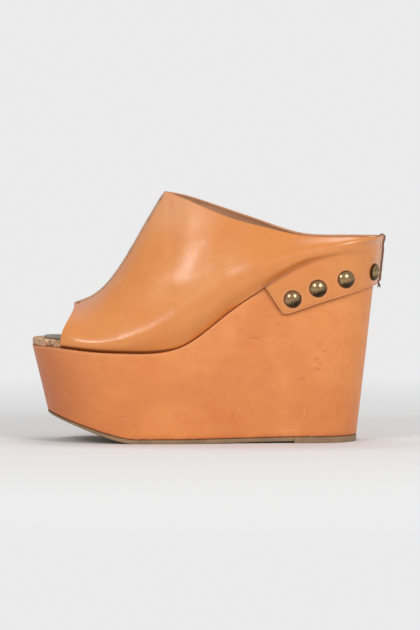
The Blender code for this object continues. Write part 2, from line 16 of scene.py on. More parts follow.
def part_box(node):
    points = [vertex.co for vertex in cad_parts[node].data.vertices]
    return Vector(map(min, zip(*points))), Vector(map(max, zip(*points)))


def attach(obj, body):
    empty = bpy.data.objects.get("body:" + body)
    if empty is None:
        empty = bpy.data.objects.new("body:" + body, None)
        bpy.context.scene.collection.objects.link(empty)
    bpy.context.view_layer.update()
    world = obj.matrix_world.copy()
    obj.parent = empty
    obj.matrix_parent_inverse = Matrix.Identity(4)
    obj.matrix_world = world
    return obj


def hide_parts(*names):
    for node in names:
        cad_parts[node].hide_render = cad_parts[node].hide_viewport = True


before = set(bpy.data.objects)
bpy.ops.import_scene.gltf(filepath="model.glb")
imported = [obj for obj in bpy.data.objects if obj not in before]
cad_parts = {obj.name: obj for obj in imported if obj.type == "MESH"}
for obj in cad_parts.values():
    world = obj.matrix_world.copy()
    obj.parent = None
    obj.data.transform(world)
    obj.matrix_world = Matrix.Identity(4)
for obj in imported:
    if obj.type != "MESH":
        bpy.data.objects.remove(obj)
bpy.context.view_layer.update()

# Overall sizes of the wedge and its deck
DECK_LENGTH = 0.229
BALL_WIDTH = 0.0875
PLATFORM_HEIGHT = 0.0595
HEEL_HEIGHT = 0.1257
DECK_EDGE_RADIUS = 0.0012
TOE_ROUND_LENGTH = 0.050
TOE_ROUND_POWER = 2.25
HEEL_ROUND_LENGTH = 0.036
HEEL_ROUND_POWER = 2.3
TOE_UNDERCUT = 0.0104
HEEL_UNDERCUT = 0.0136
SIDE_TAPER = 0.0022

# Sole and heel top piece
OUTSOLE_THICKNESS = 0.0027
OUTSOLE_TOE_THICKNESS = 0.0014
TOP_PIECE_THICKNESS = 0.0040
TOP_PIECE_LENGTH = 0.0418
TOE_SPRING = 0.0190
TOE_SPRING_START = 0.0700
TOE_SPRING_EASE = 0.0155
ARCH_START = 0.1080
TREAD_EDGE_BEVEL = 0.0006

# Layers on the deck
GAP = 0.0003
FOOTBED_THICKNESS = 0.0045
FOOTBED_TOE_INSET = 0.0004
FOOTBED_EDGE_RADIUS = 0.0012
SOCK_THICKNESS = 0.0012
SOCK_TOE_INSET = 0.0075
SOCK_EDGE_INSET = 0.0009

# Upper
UPPER_WALL = 0.0020
PEEP_SETBACK = 0.0184
PEEP_CROWN_SETBACK = 0.0280
PEEP_CROWN_HEIGHT = 0.0911
THROAT_SETBACK = 0.0884
THROAT_FOOT_LAG = 0.0090
THROAT_HEIGHT = 0.1653
COLLAR_HEIGHT = 0.1358
COLLAR_OVERHANG = 0.0035
FRONT_TUCK = 0.0026
FLAP_STANDOFF = 0.0002
STANDOFF_EASE = 0.0260
UNDERCUT_OUT = 0.55
UNDERCUT_UP = 0.40
HEEL_TURN_START = 0.50
HEEL_TURN_END = 0.75
FLAP_LENGTH = 0.0748
FLAP_FRONT_SLANT = 0.0143
FLAP_DEPTH = 0.0288
FLAP_CORNER_RADIUS = 0.0022

# Raised seams and studs
BACK_SEAM_HEIGHT = 0.0022
BACK_SEAM_WIDTH = 0.0034
FRONT_SEAM_HEIGHT = 0.0008
FRONT_SEAM_WIDTH = 0.0026
STUD_RADIUS = 0.0056
STUD_DOME_HEIGHT = 0.0025
STUD_RIM_HEIGHT = 0.0005
NAIL_RADIUS = 0.0010
NAIL_LENGTH = 0.0090

# How finely the forms are divided
LAYER_STEPS = 160
WALL_ROWS = 64
LOWER_WALL_STEPS = 16
UPPER_WALL_STEPS = 46
FLAP_STEPS = 22
STUD_SIDES = 56
DOME_STEPS = 18

LATERAL = -1
MEDIAL = 1
SHADE_ANGLE = 40


class Table:
    """A short table with named columns, read as smooth curves against its first column."""

    def __init__(self, names, *rows):
        self.names = names.split()
        self.columns = dict(zip(self.names, np.array(rows, float).T))
        self.at = self.columns[self.names[0]]
        self.bends = {name: self.second_slopes(column) for name, column in self.columns.items()}

    def second_slopes(self, column):
        """Second derivatives at the rows of the natural cubic curve through a column."""
        count = len(self.at)
        width = np.diff(self.at)
        matrix = np.eye(count)
        right = np.zeros(count)
        for row in range(1, count - 1):
            before, after = width[row - 1], width[row]
            matrix[row, row - 1 : row + 2] = before, 2 * (before + after), after
            rise_after = (column[row + 1] - column[row]) / after
            rise_before = (column[row] - column[row - 1]) / before
            right[row] = 6 * (rise_after - rise_before)
        return np.linalg.solve(matrix, right)

    def read(self, name, at):
        column, bend = self.columns[name], self.bends[name]
        at = min(max(at, self.at[0]), self.at[-1])
        row = min(int(np.searchsorted(self.at, at, side="right")) - 1, len(self.at) - 2)
        width = self.at[row + 1] - self.at[row]
        far = (at - self.at[row]) / width
        near = 1 - far
        curve = (near**3 - near) * bend[row] + (far**3 - far) * bend[row + 1]
        return near * column[row] + far * column[row + 1] + curve * width**2 / 6


# Plan of the deck: place as a share of its length, centre line and half width as shares of the ball width
PLAN = Table(
    "along centre half",
    (0.00, 0.030, 0.480),
    (0.15, 0.022, 0.488),
    (0.30, 0.000, 0.492),
    (0.42, -0.018, 0.462),
    (0.55, -0.022, 0.412),
    (0.70, -0.008, 0.376),
    (0.85, 0.000, 0.366),
    (1.00, 0.004, 0.360),
)

# Side view of the deck: place along it, and rise as a share of the climb from platform height to heel height
PROFILE = Table(
    "along rise",
    (0.000, 0.066),
    (0.085, 0.048),
    (0.180, 0.014),
    (0.283, 0.000),
    (0.387, 0.017),
    (0.443, 0.078),
    (0.499, 0.205),
    (0.561, 0.376),
    (0.630, 0.550),
    (0.673, 0.651),
    (0.721, 0.758),
    (0.804, 0.886),
    (0.874, 0.960),
    (1.000, 1.000),
)

# Centre line of the vamp from the peep's crown to the throat: shares of the run and of the climb
VAMP = Table(
    "along run rise",
    (0.00, 0.000, 0.000),
    (0.25, 0.257, 0.092),
    (0.50, 0.522, 0.344),
    (0.75, 0.786, 0.710),
    (1.00, 1.000, 1.000),
)

# Top edge from the throat to the centre back: share of the run, drops as shares of the fall from throat to
# collar, and half opening as a share of the deck's half width at the same place
TOP_EDGE = Table(
    "along run lateral_drop medial_drop opening",
    (0.00, 0.000, 0.000, 0.000, 0.000),
    (0.10, 0.090, 0.165, 0.090, 0.330),
    (0.20, 0.197, 0.385, 0.255, 0.565),
    (0.32, 0.330, 0.625, 0.480, 0.730),
    (0.45, 0.470, 0.800, 0.715, 0.825),
    (0.58, 0.610, 0.945, 0.930, 0.895),
    (0.72, 0.770, 1.005, 1.005, 0.950),
    (0.86, 0.925, 1.010, 1.010, 0.985),
    (1.00, 1.000, 1.000, 1.000, 1.000),
)

# Sections of the upper, by the place of their foot along the deck, in the shares that section() takes
SECTIONS = Table(
    "along out up slide turn reach fall lean",
    (0.080, 0.036, 0.145, 0.005, 0.360, 0.255, 0.180, -0.20),
    (0.163, 0.043, 0.140, 0.080, 0.140, 0.270, 0.095, 0.05),
    (0.250, 0.050, 0.135, 0.130, 0.100, 0.256, 0.130, 0.20),
    (0.338, 0.058, 0.150, 0.160, 0.085, 0.222, 0.165, 0.30),
    (0.425, 0.068, 0.172, 0.180, 0.080, 0.188, 0.185, 0.30),
    (0.513, 0.076, 0.195, 0.200, 0.060, 0.120, 0.240, 0.30),
    (0.600, 0.075, 0.250, 0.250, 0.100, 0.090, 0.280, 0.30),
    (0.680, 0.056, 0.320, 0.300, 0.150, 0.080, 0.300, 0.20),
    (0.775, 0.040, 0.380, 0.300, 0.250, 0.060, 0.250, 0.10),
    (0.862, 0.020, 0.400, 0.200, 0.300, 0.030, 0.220, 0.00),
    (0.930, 0.008, 0.400, 0.100, 0.300, 0.018, 0.220, 0.00),
    (1.000, 0.000, 0.400, 0.000, 0.300, 0.004, 0.250, 0.00),
)

# Lower edge of the flap, from its corner to the centre back: depth below the deck, as a share of its depth
FLAP = Table(
    "along depth",
    (0.00, 0.980),
    (0.16, 1.000),
    (0.37, 1.003),
    (0.59, 0.975),
    (0.79, 0.890),
    (1.00, 0.757),
)

# Studs on each side, from the flap's corner to the centre back, and their height above the flap's lower edge
STUDS = Table(
    "along height",
    (0.085, 0.0094),
    (0.364, 0.0107),
    (0.659, 0.0110),
    (0.948, 0.0096),
)

# Creases of the upper, seen from the side: depth of the trough, below zero for a ridge, its half width, how
# much of it the inner side of the foot shows, and points x z along it
CREASES = (
    (0.0011, 0.0020, 1.0, (
        (0.1535, 0.1033), (0.1652, 0.1103), (0.1758, 0.1162), (0.1863, 0.1202), (0.2000, 0.1228),
    )),
    (-0.0006, 0.0050, 1.0, ((0.1500, 0.1100), (0.1640, 0.1185), (0.1780, 0.1252), (0.1930, 0.1280))),
    (-0.0010, 0.0056, 1.0, ((0.1950, 0.1298), (0.2060, 0.1306), (0.2160, 0.1310), (0.2260, 0.1306))),
    (-0.0010, 0.0075, 1.0, (
        (0.0560, 0.0690), (0.0790, 0.0760), (0.0990, 0.0875),
        (0.1200, 0.1010), (0.1470, 0.1205), (0.1620, 0.1250),
    )),
    (0.00010, 0.0050, 0.6, ((0.0720, 0.0985), (0.0815, 0.1040), (0.0905, 0.1062), (0.0990, 0.1090))),
    (0.00022, 0.0050, 0.7, ((0.1060, 0.1370), (0.1140, 0.1440), (0.1190, 0.1520))),
)
UPPER_WAVE_SIZE = 0.024
UPPER_WAVE_HEIGHT = 0.00012
WEDGE_WAVE_SIZE = 0.026
WEDGE_WAVE_HEIGHT = 0.00022

# Prints of the ball and of the heel in the sock lining: place along the deck, half length and depth
FOOT_PRINTS = ((0.064, 0.040, 0.00035), (0.198, 0.026, 0.00030))
PRINT_STAINS = ((0.062, 0.034), (0.200, 0.028))

# Small forms of the wedge's cover, cork, leather edges, seams, threads and studs
FOOT_TUCK = 0.0007
FOOT_TUCK_HEIGHT = 0.0012
FOOT_ROWS = (1.0, 0.996, 0.990, 0.982, 0.974)
FOOT_ROWS_END = 0.97
DECK_EDGE_ANGLES = (18, 36, 54, 72, 90)
LAYER_EDGE_ANGLES = (22.5, 45, 67.5, 90)
FOOTBED_SIDE_ROWS = 7
SOCK_SIDE_ROWS = 2
SOCK_GRID = 28
CHIP_DEPTH = 0.00022
CHIP_SIZE = 0.0016
CUT_EDGE_SWELL = 0.0004
CUT_EDGE_PROFILE = ((0.10, 0.55), (0.30, 0.90), (0.50, 1.00), (0.70, 0.90), (0.90, 0.55))
SEAM_WOBBLE = 0.12
SEAM_WOBBLE_SIZE = 0.004
SEAM_ROOT = -0.0012
HAMMER_DEPTH = 0.00012
HAMMER_SIZE = 0.0013
THREAD_SIDES = 8
TACK_RADIUS = 0.00050
PEEP_THREAD_RADIUS = 0.00035
BACK_THREAD_RADIUS = 0.00042

# Closeness at which places count as the same
SAME_TURN = 1e-9
SAME_POINT = 1e-5

# Camera, surround and lights: name, place, size and power of each light
CAMERA_DISTANCE = 3.0
CAMERA_ABOVE = 0.137
CAMERA_AIM = (0.0006, 0.0, 0.0831)
CAMERA_LENS = 258.06
CAMERA_SENSOR = 36.0
BACKDROP = 0.832
FLOOR_TINT = 0.80
FLOOR_RADIUS = 4.0
FLOOR_FADE_START = 0.22
FLOOR_FADE_END = 0.75
SURROUND_RADIUS = 8.0
WORLD_STRENGTH = 0.53
LIGHT_TARGET = (0.0, 0.0, 0.08)
LIGHTS = (
    ("key_left", (-0.85, -1.25, 0.95), (0.45, 0.45), 7.2),
    ("key_right", (0.80, -1.30, 0.95), (0.45, 0.50), 9.8),
    ("overhead", (0.05, 0.40, 1.35), (0.80, 0.40), 3.4),
)



def smoothstep(value, low, high):
    share = min(max((value - low) / (high - low), 0.0), 1.0)
    return share * share * (3 - 2 * share)


def end_cap(distance, length, power):
    """Share of the full width at a distance from a round end."""
    if distance >= length:
        return 1.0
    return max(0.0, 1 - ((length - distance) / length) ** power) ** (1 / power)


def turn_at(x):
    """Turn parameter of a place along the deck: 0 at the toe tip, 1 at the back, closer at both ends."""
    return math.acos(1 - 2 * min(max(x / DECK_LENGTH, 0.0), 1.0)) / math.pi


def along_at(turn):
    return (1 - math.cos(math.pi * turn)) / 2


def half_width(x):
    caps = end_cap(x, TOE_ROUND_LENGTH, TOE_ROUND_POWER)
    caps *= end_cap(DECK_LENGTH - x, HEEL_ROUND_LENGTH, HEEL_ROUND_POWER)
    return PLAN.read("half", x / DECK_LENGTH) * BALL_WIDTH * caps


def deck_edge(side, turn):
    """Point of the deck's plan outline."""
    along = along_at(turn)
    x = along * DECK_LENGTH
    centre = PLAN.read("centre", along) * BALL_WIDTH
    return Vector((x, centre + side * half_width(x)))


def outward(side, turn):
    """Level unit vector that points out of the deck's outline."""
    step = 1e-4
    before = deck_edge(side, max(turn - step, 0.0))
    after = deck_edge(side, min(turn + step, 1.0))
    along = (after - before).normalized()
    return Vector((-along.y, along.x)) * side


def deck_height(x):
    rise = PROFILE.read("rise", x / DECK_LENGTH)
    return PLATFORM_HEIGHT + rise * (HEEL_HEIGHT - PLATFORM_HEIGHT)


def sole_edge(side, turn):
    """Point of the outline where the wedge's wall meets the sole."""
    along = along_at(turn)
    length = DECK_LENGTH - TOE_UNDERCUT - HEEL_UNDERCUT
    centre = PLAN.read("centre", along) * BALL_WIDTH
    width = half_width(along * DECK_LENGTH)
    narrowed = width * (1 - SIDE_TAPER / (BALL_WIDTH / 2))
    return Vector((TOE_UNDERCUT + along * length, centre + side * narrowed))


def top_piece_front():
    return DECK_LENGTH - HEEL_UNDERCUT - TOP_PIECE_LENGTH


def tread_height(x):
    """Height of the outsole's underside: toe spring, flat tread, then the slow rise of the waist."""

    def ease(distance):
        return math.hypot(distance, TOE_SPRING_EASE) - TOE_SPRING_EASE

    if x < TOE_SPRING_START:
        return TOE_SPRING * ease(TOE_SPRING_START - x) / ease(TOE_SPRING_START - TOE_UNDERCUT)
    rise = (x - ARCH_START) / (top_piece_front() - ARCH_START)
    return (TOP_PIECE_THICKNESS - OUTSOLE_THICKNESS) * min(max(rise, 0.0), 1.0)


def outsole_top(x):
    full = smoothstep(x, TOE_UNDERCUT, TOE_SPRING_START)
    return tread_height(x) + OUTSOLE_TOE_THICKNESS + full * (OUTSOLE_THICKNESS - OUTSOLE_TOE_THICKNESS)


def wedge_bottom(x):
    return outsole_top(x) + GAP


def wall_point(side, turn, depth):
    """Point of the wedge's side wall at a depth below the deck, on the straight line from deck to sole."""
    top = deck_edge(side, turn)
    foot = sole_edge(side, turn)
    top_z = deck_height(top.x)
    foot_z = wedge_bottom(foot.x)
    share = depth / (top_z - foot_z)
    level = top.lerp(foot, share)
    return Vector((level.x, level.y, top_z - depth))


def offset_point(side, turn, offset, height):
    """Point off the deck's outline by a distance outwards, at a height given as a function of x."""
    level = deck_edge(side, turn) + outward(side, turn) * offset
    return Vector((level.x, level.y, height(level.x)))


def sole_point(side, turn, inset, height):
    edge = sole_edge(side, turn)
    level = edge - outward(side, turn) * inset
    return Vector((level.x, level.y, height(level.x)))


def flap_front():
    """Place along the deck, in metres, where the flap's front edge leaves the deck."""
    return DECK_LENGTH - FLAP_LENGTH


def flap_corner():
    return flap_front() + FLAP_FRONT_SLANT


def flap_share(turn):
    """Share of the run from the flap's corner to the centre back."""
    return (along_at(turn) * DECK_LENGTH - flap_corner()) / (DECK_LENGTH - flap_corner())


def flap_standoff():
    """Distance from the wedge's wall to the outer face of the flap."""
    return GAP + FLAP_STANDOFF + UPPER_WALL


def foot_offset(turn):
    """How far the upper's outer face stands out from the deck's edge at its foot."""
    share = smoothstep(along_at(turn) * DECK_LENGTH, flap_front() - STANDOFF_EASE, flap_front())
    return share * flap_standoff() - (1 - share) * FRONT_TUCK


def footbed_offset(turn):
    """Outline of the footbed: inside the upper's wall, and out to the deck's edge at the open toe."""
    inside = foot_offset(turn) - UPPER_WALL - GAP
    covered = smoothstep(along_at(turn) * DECK_LENGTH, 0.0, PEEP_SETBACK - UPPER_WALL)
    return covered * inside - (1 - covered) * FOOTBED_TOE_INSET


def sock_offset(turn):
    covered = smoothstep(along_at(turn) * DECK_LENGTH, 0.0, 2 * PEEP_SETBACK)
    return footbed_offset(turn) - SOCK_EDGE_INSET * covered - SOCK_TOE_INSET * (1 - covered)


def throat_foot():
    """Place along the deck, in metres, of the foot of the section that ends at the throat."""
    return THROAT_SETBACK + THROAT_FOOT_LAG


def crown_point(side, turn):
    """Top of a section: on the vamp's centre line ahead of the throat, on the top edge behind it."""
    foot_x = along_at(turn) * DECK_LENGTH
    if foot_x <= throat_foot():
        share = (foot_x - PEEP_SETBACK) / (throat_foot() - PEEP_SETBACK)
        run, rise = VAMP.read("run", share), VAMP.read("rise", share)
        x = PEEP_CROWN_SETBACK + run * (THROAT_SETBACK - PEEP_CROWN_SETBACK)
        z = PEEP_CROWN_HEIGHT + rise * (THROAT_HEIGHT - PEEP_CROWN_HEIGHT)
        return Vector((x, 0.0, z))
    share = (foot_x - throat_foot()) / (DECK_LENGTH - throat_foot())
    back = DECK_LENGTH + COLLAR_OVERHANG
    x = THROAT_SETBACK + TOP_EDGE.read("run", share) * (back - THROAT_SETBACK)
    edge = deck_edge(side, turn)
    drop = TOP_EDGE.read("lateral_drop" if side == LATERAL else "medial_drop", share)
    y = edge.y * TOP_EDGE.read("opening", share)
    return Vector((x, y, THROAT_HEIGHT - drop * (THROAT_HEIGHT - COLLAR_HEIGHT)))


def curve_points(start, leave, arrive, end, steps):
    """Points of a cubic curve after its start, given its two handles."""
    points = []
    for step in range(1, steps + 1):
        far = step / steps
        near = 1 - far
        points.append(start * near**3 + leave * 3 * near**2 * far + arrive * 3 * near * far**2 + end * far**3)
    return points


def section(side, turn):
    """Points of the upper's outer face from its foot at the deck's edge up to its top edge or centre line."""
    along = along_at(turn)
    row = {name: SECTIONS.read(name, along) for name in SECTIONS.names}
    edge = deck_edge(side, turn)
    out = outward(side, turn)
    level = edge + out * foot_offset(turn)
    foot = Vector((level.x, level.y, deck_height(edge.x) + GAP))
    crown = crown_point(side, turn)
    height = crown.z - foot.z
    slant = crown.x - foot.x
    sideways = Vector((out.x * smoothstep(along, HEEL_TURN_START, HEEL_TURN_END), out.y, 0.0)).normalized()
    bulge = sideways * row["out"] * BALL_WIDTH
    rise = Vector((slant * row["slide"], 0.0, height * row["up"]))
    widest = foot + bulge + rise
    upright = rise / row["up"]
    leave = foot + bulge * UNDERCUT_OUT + rise * UNDERCUT_UP
    lower = curve_points(foot, leave, widest - rise / 2, widest, LOWER_WALL_STEPS)
    arrive = crown + sideways * row["reach"] * BALL_WIDTH
    arrive += Vector((-slant * row["lean"], 0.0, -height * row["fall"]))
    upper = curve_points(widest, widest + upright * row["turn"], arrive, crown, UPPER_WALL_STEPS)
    return [foot, *lower, *upper]


def flap_depth(turn):
    """Depth of the flap's edge below the deck: slanted in front, round at the corner, then the lower edge."""
    slant = (along_at(turn) * DECK_LENGTH - flap_front()) / FLAP_FRONT_SLANT * FLAP_DEPTH
    lower = FLAP.read("depth", flap_share(turn)) * FLAP_DEPTH
    rounded = (slant + lower) / 2 - math.hypot((slant - lower) / 2, FLAP_CORNER_RADIUS)
    start = FLAP.columns["depth"][0] * FLAP_DEPTH / 2
    least = start - math.hypot(start, FLAP_CORNER_RADIUS)
    return max(rounded - least, 0.0)


def flap_column(side, turn):
    """Points of the flap's outer face from its lower edge up to just below the deck's edge."""
    out = outward(side, turn)
    clear = Vector((*out * flap_standoff(), GAP))
    depth = flap_depth(turn)
    return [wall_point(side, turn, depth * (1 - step / FLAP_STEPS)) + clear for step in range(FLAP_STEPS)]


def upper_turns():
    """Turn parameters of the upper's sections, with one at each corner of its outline."""
    spans = (
        (PEEP_SETBACK, throat_foot(), 66),
        (throat_foot(), flap_front(), 40),
        (flap_front(), flap_corner(), 18),
        (flap_corner(), DECK_LENGTH, 60),
    )
    turns = [turn_at(PEEP_SETBACK)]
    for start, end, count in spans:
        first, last = turn_at(start), turn_at(end)
        turns += [first + (last - first) * step / count for step in range(1, count + 1)]
    return turns


def shoe_shift():
    """Place of the layout's origin in the frame, found from the box of the wedge."""
    low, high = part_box("platform_wedge")
    cad_steps = 40
    rim = [wall_point(MEDIAL, step / cad_steps, DECK_EDGE_RADIUS) for step in range(cad_steps + 1)]
    return Vector((low[0] - rim[0].x, high[1] - max(point.y for point in rim), 0.0))


SHIFT = shoe_shift()


def mesh_from(name, build):
    mesh = bpy.data.meshes.new(name)
    build.to_mesh(mesh)
    build.free()
    return mesh


def add_piece(name, build, materials, nodes=()):
    """Makes a piece of the shoe from a closed form in the layout's coordinates."""
    bmesh.ops.recalc_face_normals(build, faces=build.faces)
    mesh = mesh_from(name, build)
    for made in materials:
        mesh.materials.append(made)
    mesh.shade_smooth()
    mesh.set_sharp_from_angle(angle=math.radians(SHADE_ANGLE))
    piece = bpy.data.objects.new(name, mesh)
    bpy.context.scene.collection.objects.link(piece)
    piece.location = SHIFT
    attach(piece, "root")
    if nodes:
        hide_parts(*nodes)
    return piece


# Materials

def rgb(red, green, blue):
    """Linear colour from values of 0 to 255 as they look on a screen."""

    def linear(value):
        value /= 255
        return value / 12.92 if value <= 0.04045 else ((value + 0.055) / 1.055) ** 2.4

    return (linear(red), linear(green), linear(blue), 1.0)


class Look:
    """One procedural material, with short calls for its nodes."""

    def __init__(self, name, base=None):
        self.colour = base
        self.material = bpy.data.materials.new(name)
        self.material.use_nodes = True
        self.tree = self.material.node_tree
        self.shader = self.tree.nodes["Principled BSDF"]
        self.place = self.tree.nodes.new("ShaderNodeTexCoord").outputs["Object"]

    def put(self, node, name, value):
        """Sets an input from a number or colour, or links it from another node."""
        if isinstance(value, bpy.types.NodeSocket):
            self.tree.links.new(value, node.inputs[name])
        else:
            node.inputs[name].default_value = value

    def set(self, **values):
        for name, value in values.items():
            self.put(self.shader, name.replace("_", " ").title().replace("Ior", "IOR"), value)

    def mapped(self, scale=(1, 1, 1), location=(0, 0, 0), rotation=(0, 0, 0), place=None):
        node = self.tree.nodes.new("ShaderNodeMapping")
        self.put(node, "Vector", place or self.place)
        self.put(node, "Scale", scale)
        self.put(node, "Location", location)
        self.put(node, "Rotation", rotation)
        return node.outputs["Vector"]

    def noise(self, size, detail=3.0, place=None, rough=0.5, distortion=0.0, output="Fac"):
        """Cloudy noise of 0 to 1 whose patches are about a size in metres."""
        node = self.tree.nodes.new("ShaderNodeTexNoise")
        self.put(node, "Vector", place or self.place)
        self.put(node, "Scale", 1 / size)
        self.put(node, "Detail", detail)
        self.put(node, "Roughness", rough)
        self.put(node, "Distortion", distortion)
        return node.outputs[output]

    def cells(self, size, output="Distance", feature="F1", place=None):
        node = self.tree.nodes.new("ShaderNodeTexVoronoi")
        node.feature = feature
        self.put(node, "Vector", place or self.place)
        self.put(node, "Scale", 1 / size)
        return node.outputs[output]

    def attribute(self, name):
        node = self.tree.nodes.new("ShaderNodeAttribute")
        node.attribute_name = name
        return node.outputs["Fac"]

    def ramp(self, value, low, high, start=0.0, end=1.0):
        """Smooth step of a value between two limits."""
        node = self.tree.nodes.new("ShaderNodeMapRange")
        node.interpolation_type = "SMOOTHSTEP"
        self.put(node, "Value", value)
        self.put(node, "From Min", low)
        self.put(node, "From Max", high)
        self.put(node, "To Min", start)
        self.put(node, "To Max", end)
        return node.outputs["Result"]

    def fade(self, value, low, high):
        """One up to the low limit, falling smoothly to nothing at the high one."""
        return self.ramp(value, low, high, 1.0, 0.0)

    def math(self, operation, first, second=0.0):
        node = self.tree.nodes.new("ShaderNodeMath")
        node.operation = operation
        for place, value in enumerate((first, second)):
            self.put(node, place, value)
        return node.outputs[0]

    def scaled(self, value, amount):
        return self.math("MULTIPLY", value, amount)

    def total(self, *values):
        summed = values[0]
        for value in values[1:]:
            summed = self.math("ADD", summed, value)
        return summed

    def line(self, value, middle, half):
        """One on a line where a value meets its middle, fading to nothing at half a width from it."""
        away = self.math("ABSOLUTE", self.math("SUBTRACT", value, middle))
        return self.fade(away, 0.0, half)

    def mix(self, share, first, second, mode="MIX"):
        node = self.tree.nodes.new("ShaderNodeMix")
        node.data_type = "RGBA"
        node.blend_type = mode
        node.clamp_factor = True
        colours = [spot for spot in node.inputs if spot.type == "RGBA"]
        self.put(node, 0, share)
        for spot, value in zip(colours, (first, second)):
            if isinstance(value, bpy.types.NodeSocket):
                self.tree.links.new(value, spot)
            else:
                spot.default_value = value
        return next(spot for spot in node.outputs if spot.type == "RGBA")

    def paint(self, tint, mask, amount=None):
        """Lays a tint over the colour so far, by a mask that an amount may weaken."""
        share = mask if amount is None else self.scaled(mask, amount)
        self.colour = self.mix(share, self.colour, tint)

    def length(self, vector):
        node = self.tree.nodes.new("ShaderNodeVectorMath")
        node.operation = "LENGTH"
        self.put(node, 0, vector)
        return node.outputs["Value"]

    def emission(self, grey):
        node = self.tree.nodes.new("ShaderNodeEmission")
        self.put(node, "Color", (grey, grey, grey, 1.0))
        return node.outputs[0]

    def bump(self, height, depth, normal=None):
        node = self.tree.nodes.new("ShaderNodeBump")
        self.put(node, "Height", height)
        self.put(node, "Distance", depth)
        self.put(node, "Strength", 1.0)
        if normal:
            self.put(node, "Normal", normal)
        return node.outputs["Normal"]

    def spot(self, place, centre, radii, tilt=0.0, soft=0.55):
        """Mask of one soft oval mark in the shoe's own sizes, tilted in the side view."""
        moved = self.mapped(location=[-value for value in centre], place=place)
        turned = self.mapped(rotation=(0, tilt, 0), place=moved)
        sized = self.mapped(scale=[1 / value for value in radii], place=turned)
        return self.fade(self.length(sized), soft, 1.0)

    def spots(self, marks, reach):
        """Marks on the outer wall: x z half_length half_height tilt strength, in millimetres and degrees."""
        shaken = self.tree.nodes.new("ShaderNodeVectorMath")
        shaken.operation = "MULTIPLY_ADD"
        self.put(shaken, 0, self.noise(1 / 260, 4.0, output="Color"))
        self.put(shaken, 1, (reach, 0.0, reach))
        self.put(shaken, 2, self.place)
        place = self.mapped(location=(-reach / 2, 0, -reach / 2), place=shaken.outputs["Vector"])
        found = None
        for x, z, long, high, tilt, strength in marks:
            centre = (x / 1000, LATERAL * BALL_WIDTH / 2, z / 1000)
            radii = (long / 1000, BALL_WIDTH / 2, high / 1000)
            mask = self.scaled(self.spot(place, centre, radii, math.radians(tilt), soft=0.2), strength)
            found = mask if found is None else self.math("MAXIMUM", found, mask)
        return found


# Colours as they look in the photograph
TAN = rgb(221, 138, 64)
TAN_WARM = rgb(219, 131, 52)
# Pale tan: thread colour, and painted highlight on the throat and on the wedge's top edge
TAN_PALE_AND_HIGHLIGHT = rgb(233, 166, 122)
TAN_DARK = rgb(198, 114, 58)
TAN_DULL = rgb(210, 138, 100)
WEDGE_TAN = rgb(230, 146, 82)
WEDGE_WARM = rgb(226, 139, 70)
WEDGE_RED = rgb(206, 114, 62)
# Darker tan of the wedge: speckle and dirt, and painted shade at the toe
WEDGE_DARK_DIRT_AND_SHADE = rgb(184, 100, 56)
# Whitish frays and scratches, and also the painted highlight on the back seam's fold
FRAYED_PALE_AND_HIGHLIGHT = rgb(240, 205, 172)
EDGE_GREY = rgb(172, 152, 132)
EDGE_BROWN = rgb(112, 60, 36)
EDGE_TAN = rgb(204, 144, 98)
# Painted shade in the tuck at the deck's edge
TUCK_SHADE = rgb(84, 36, 16)
# Painted shade and dirt in the crease above the flap
CREASE_SHADE_AND_DIRT = rgb(150, 78, 36)
SEAM_DARK = rgb(82, 70, 62)
LINING_BROWN = rgb(232, 174, 132)
LINING_DARK = rgb(176, 122, 86)
SOCK_GREY = rgb(146, 132, 120)
SOCK_DARK = rgb(112, 98, 88)
CORK = rgb(204, 158, 120)
CORK_LIGHT = rgb(226, 190, 152)
CORK_DARK = rgb(96, 66, 46)
RUBBER = rgb(156, 126, 95)
RUBBER_DARK = rgb(92, 72, 56)
BRASS = rgb(178, 146, 106)
# Dark of the brass: patina, and painted shade and dark reflection on the heads
BRASS_PATINA_AND_SHADE = rgb(50, 42, 32)

# Scuffs and dirt on the outer wall of the wedge: x z half_length half_height tilt strength, in mm and degrees
WEDGE_DIRT = (
    (148, 69.8, 4.8, 1.5, 0, 0.55),
    (165.2, 65.8, 1.0, 2.0, 20, 0.45),
    (188.5, 55.4, 3.0, 1.7, 25, 0.65),
    (190.5, 52.5, 2.5, 1.5, -20, 0.65),
    (189, 49.0, 3.9, 2.0, 10, 0.55),
    (193, 60.5, 3.0, 1.9, -35, 0.30),
    (181.5, 49.6, 3.0, 1.7, -5, 0.35),
    (179, 42.6, 3.7, 1.5, -8, 0.55),
    (176.5, 46.8, 2.1, 1.2, 0, 0.30),
    (119.2, 38.3, 0.9, 1.0, 0, 0.60),
    (127.5, 32.4, 1.1, 1.4, 30, 0.50),
    (121.5, 22.8, 1.2, 3.0, 10, 0.30),
    (133, 18.2, 2.8, 3.4, 0, 0.30),
    (146, 20.2, 1.6, 4.1, -10, 0.35),
    (144, 27.0, 0.8, 1.4, 0, 0.40),
    (41.6, 18.0, 0.8, 1.0, 0, 0.60),
    (38.4, 32.4, 5.8, 1.9, 8, 0.25),
    (26.0, 33.5, 2.1, 3.1, 0, 0.30),
    (68.8, 12.6, 4.4, 1.5, 12, 0.30),
    (61.5, 61.0, 5.1, 1.5, -5, 0.30),
    (66.0, 57.5, 2.1, 1.2, 10, 0.25),
    (90.0, 72.2, 1.6, 2.7, 0, 0.35),
    (158, 33.0, 5.2, 4.2, 0, 0.22),
    (170, 36.0, 4.0, 5.0, 0, 0.20),
    (205, 50.0, 2.2, 12.0, 0, 0.18),
    (203, 21.0, 1.6, 3.7, 0, 0.25),
    (70.0, 60.0, 9.0, 4.0, 0, 0.14),
    (100, 40.0, 7.0, 9.0, 0, 0.10),
)
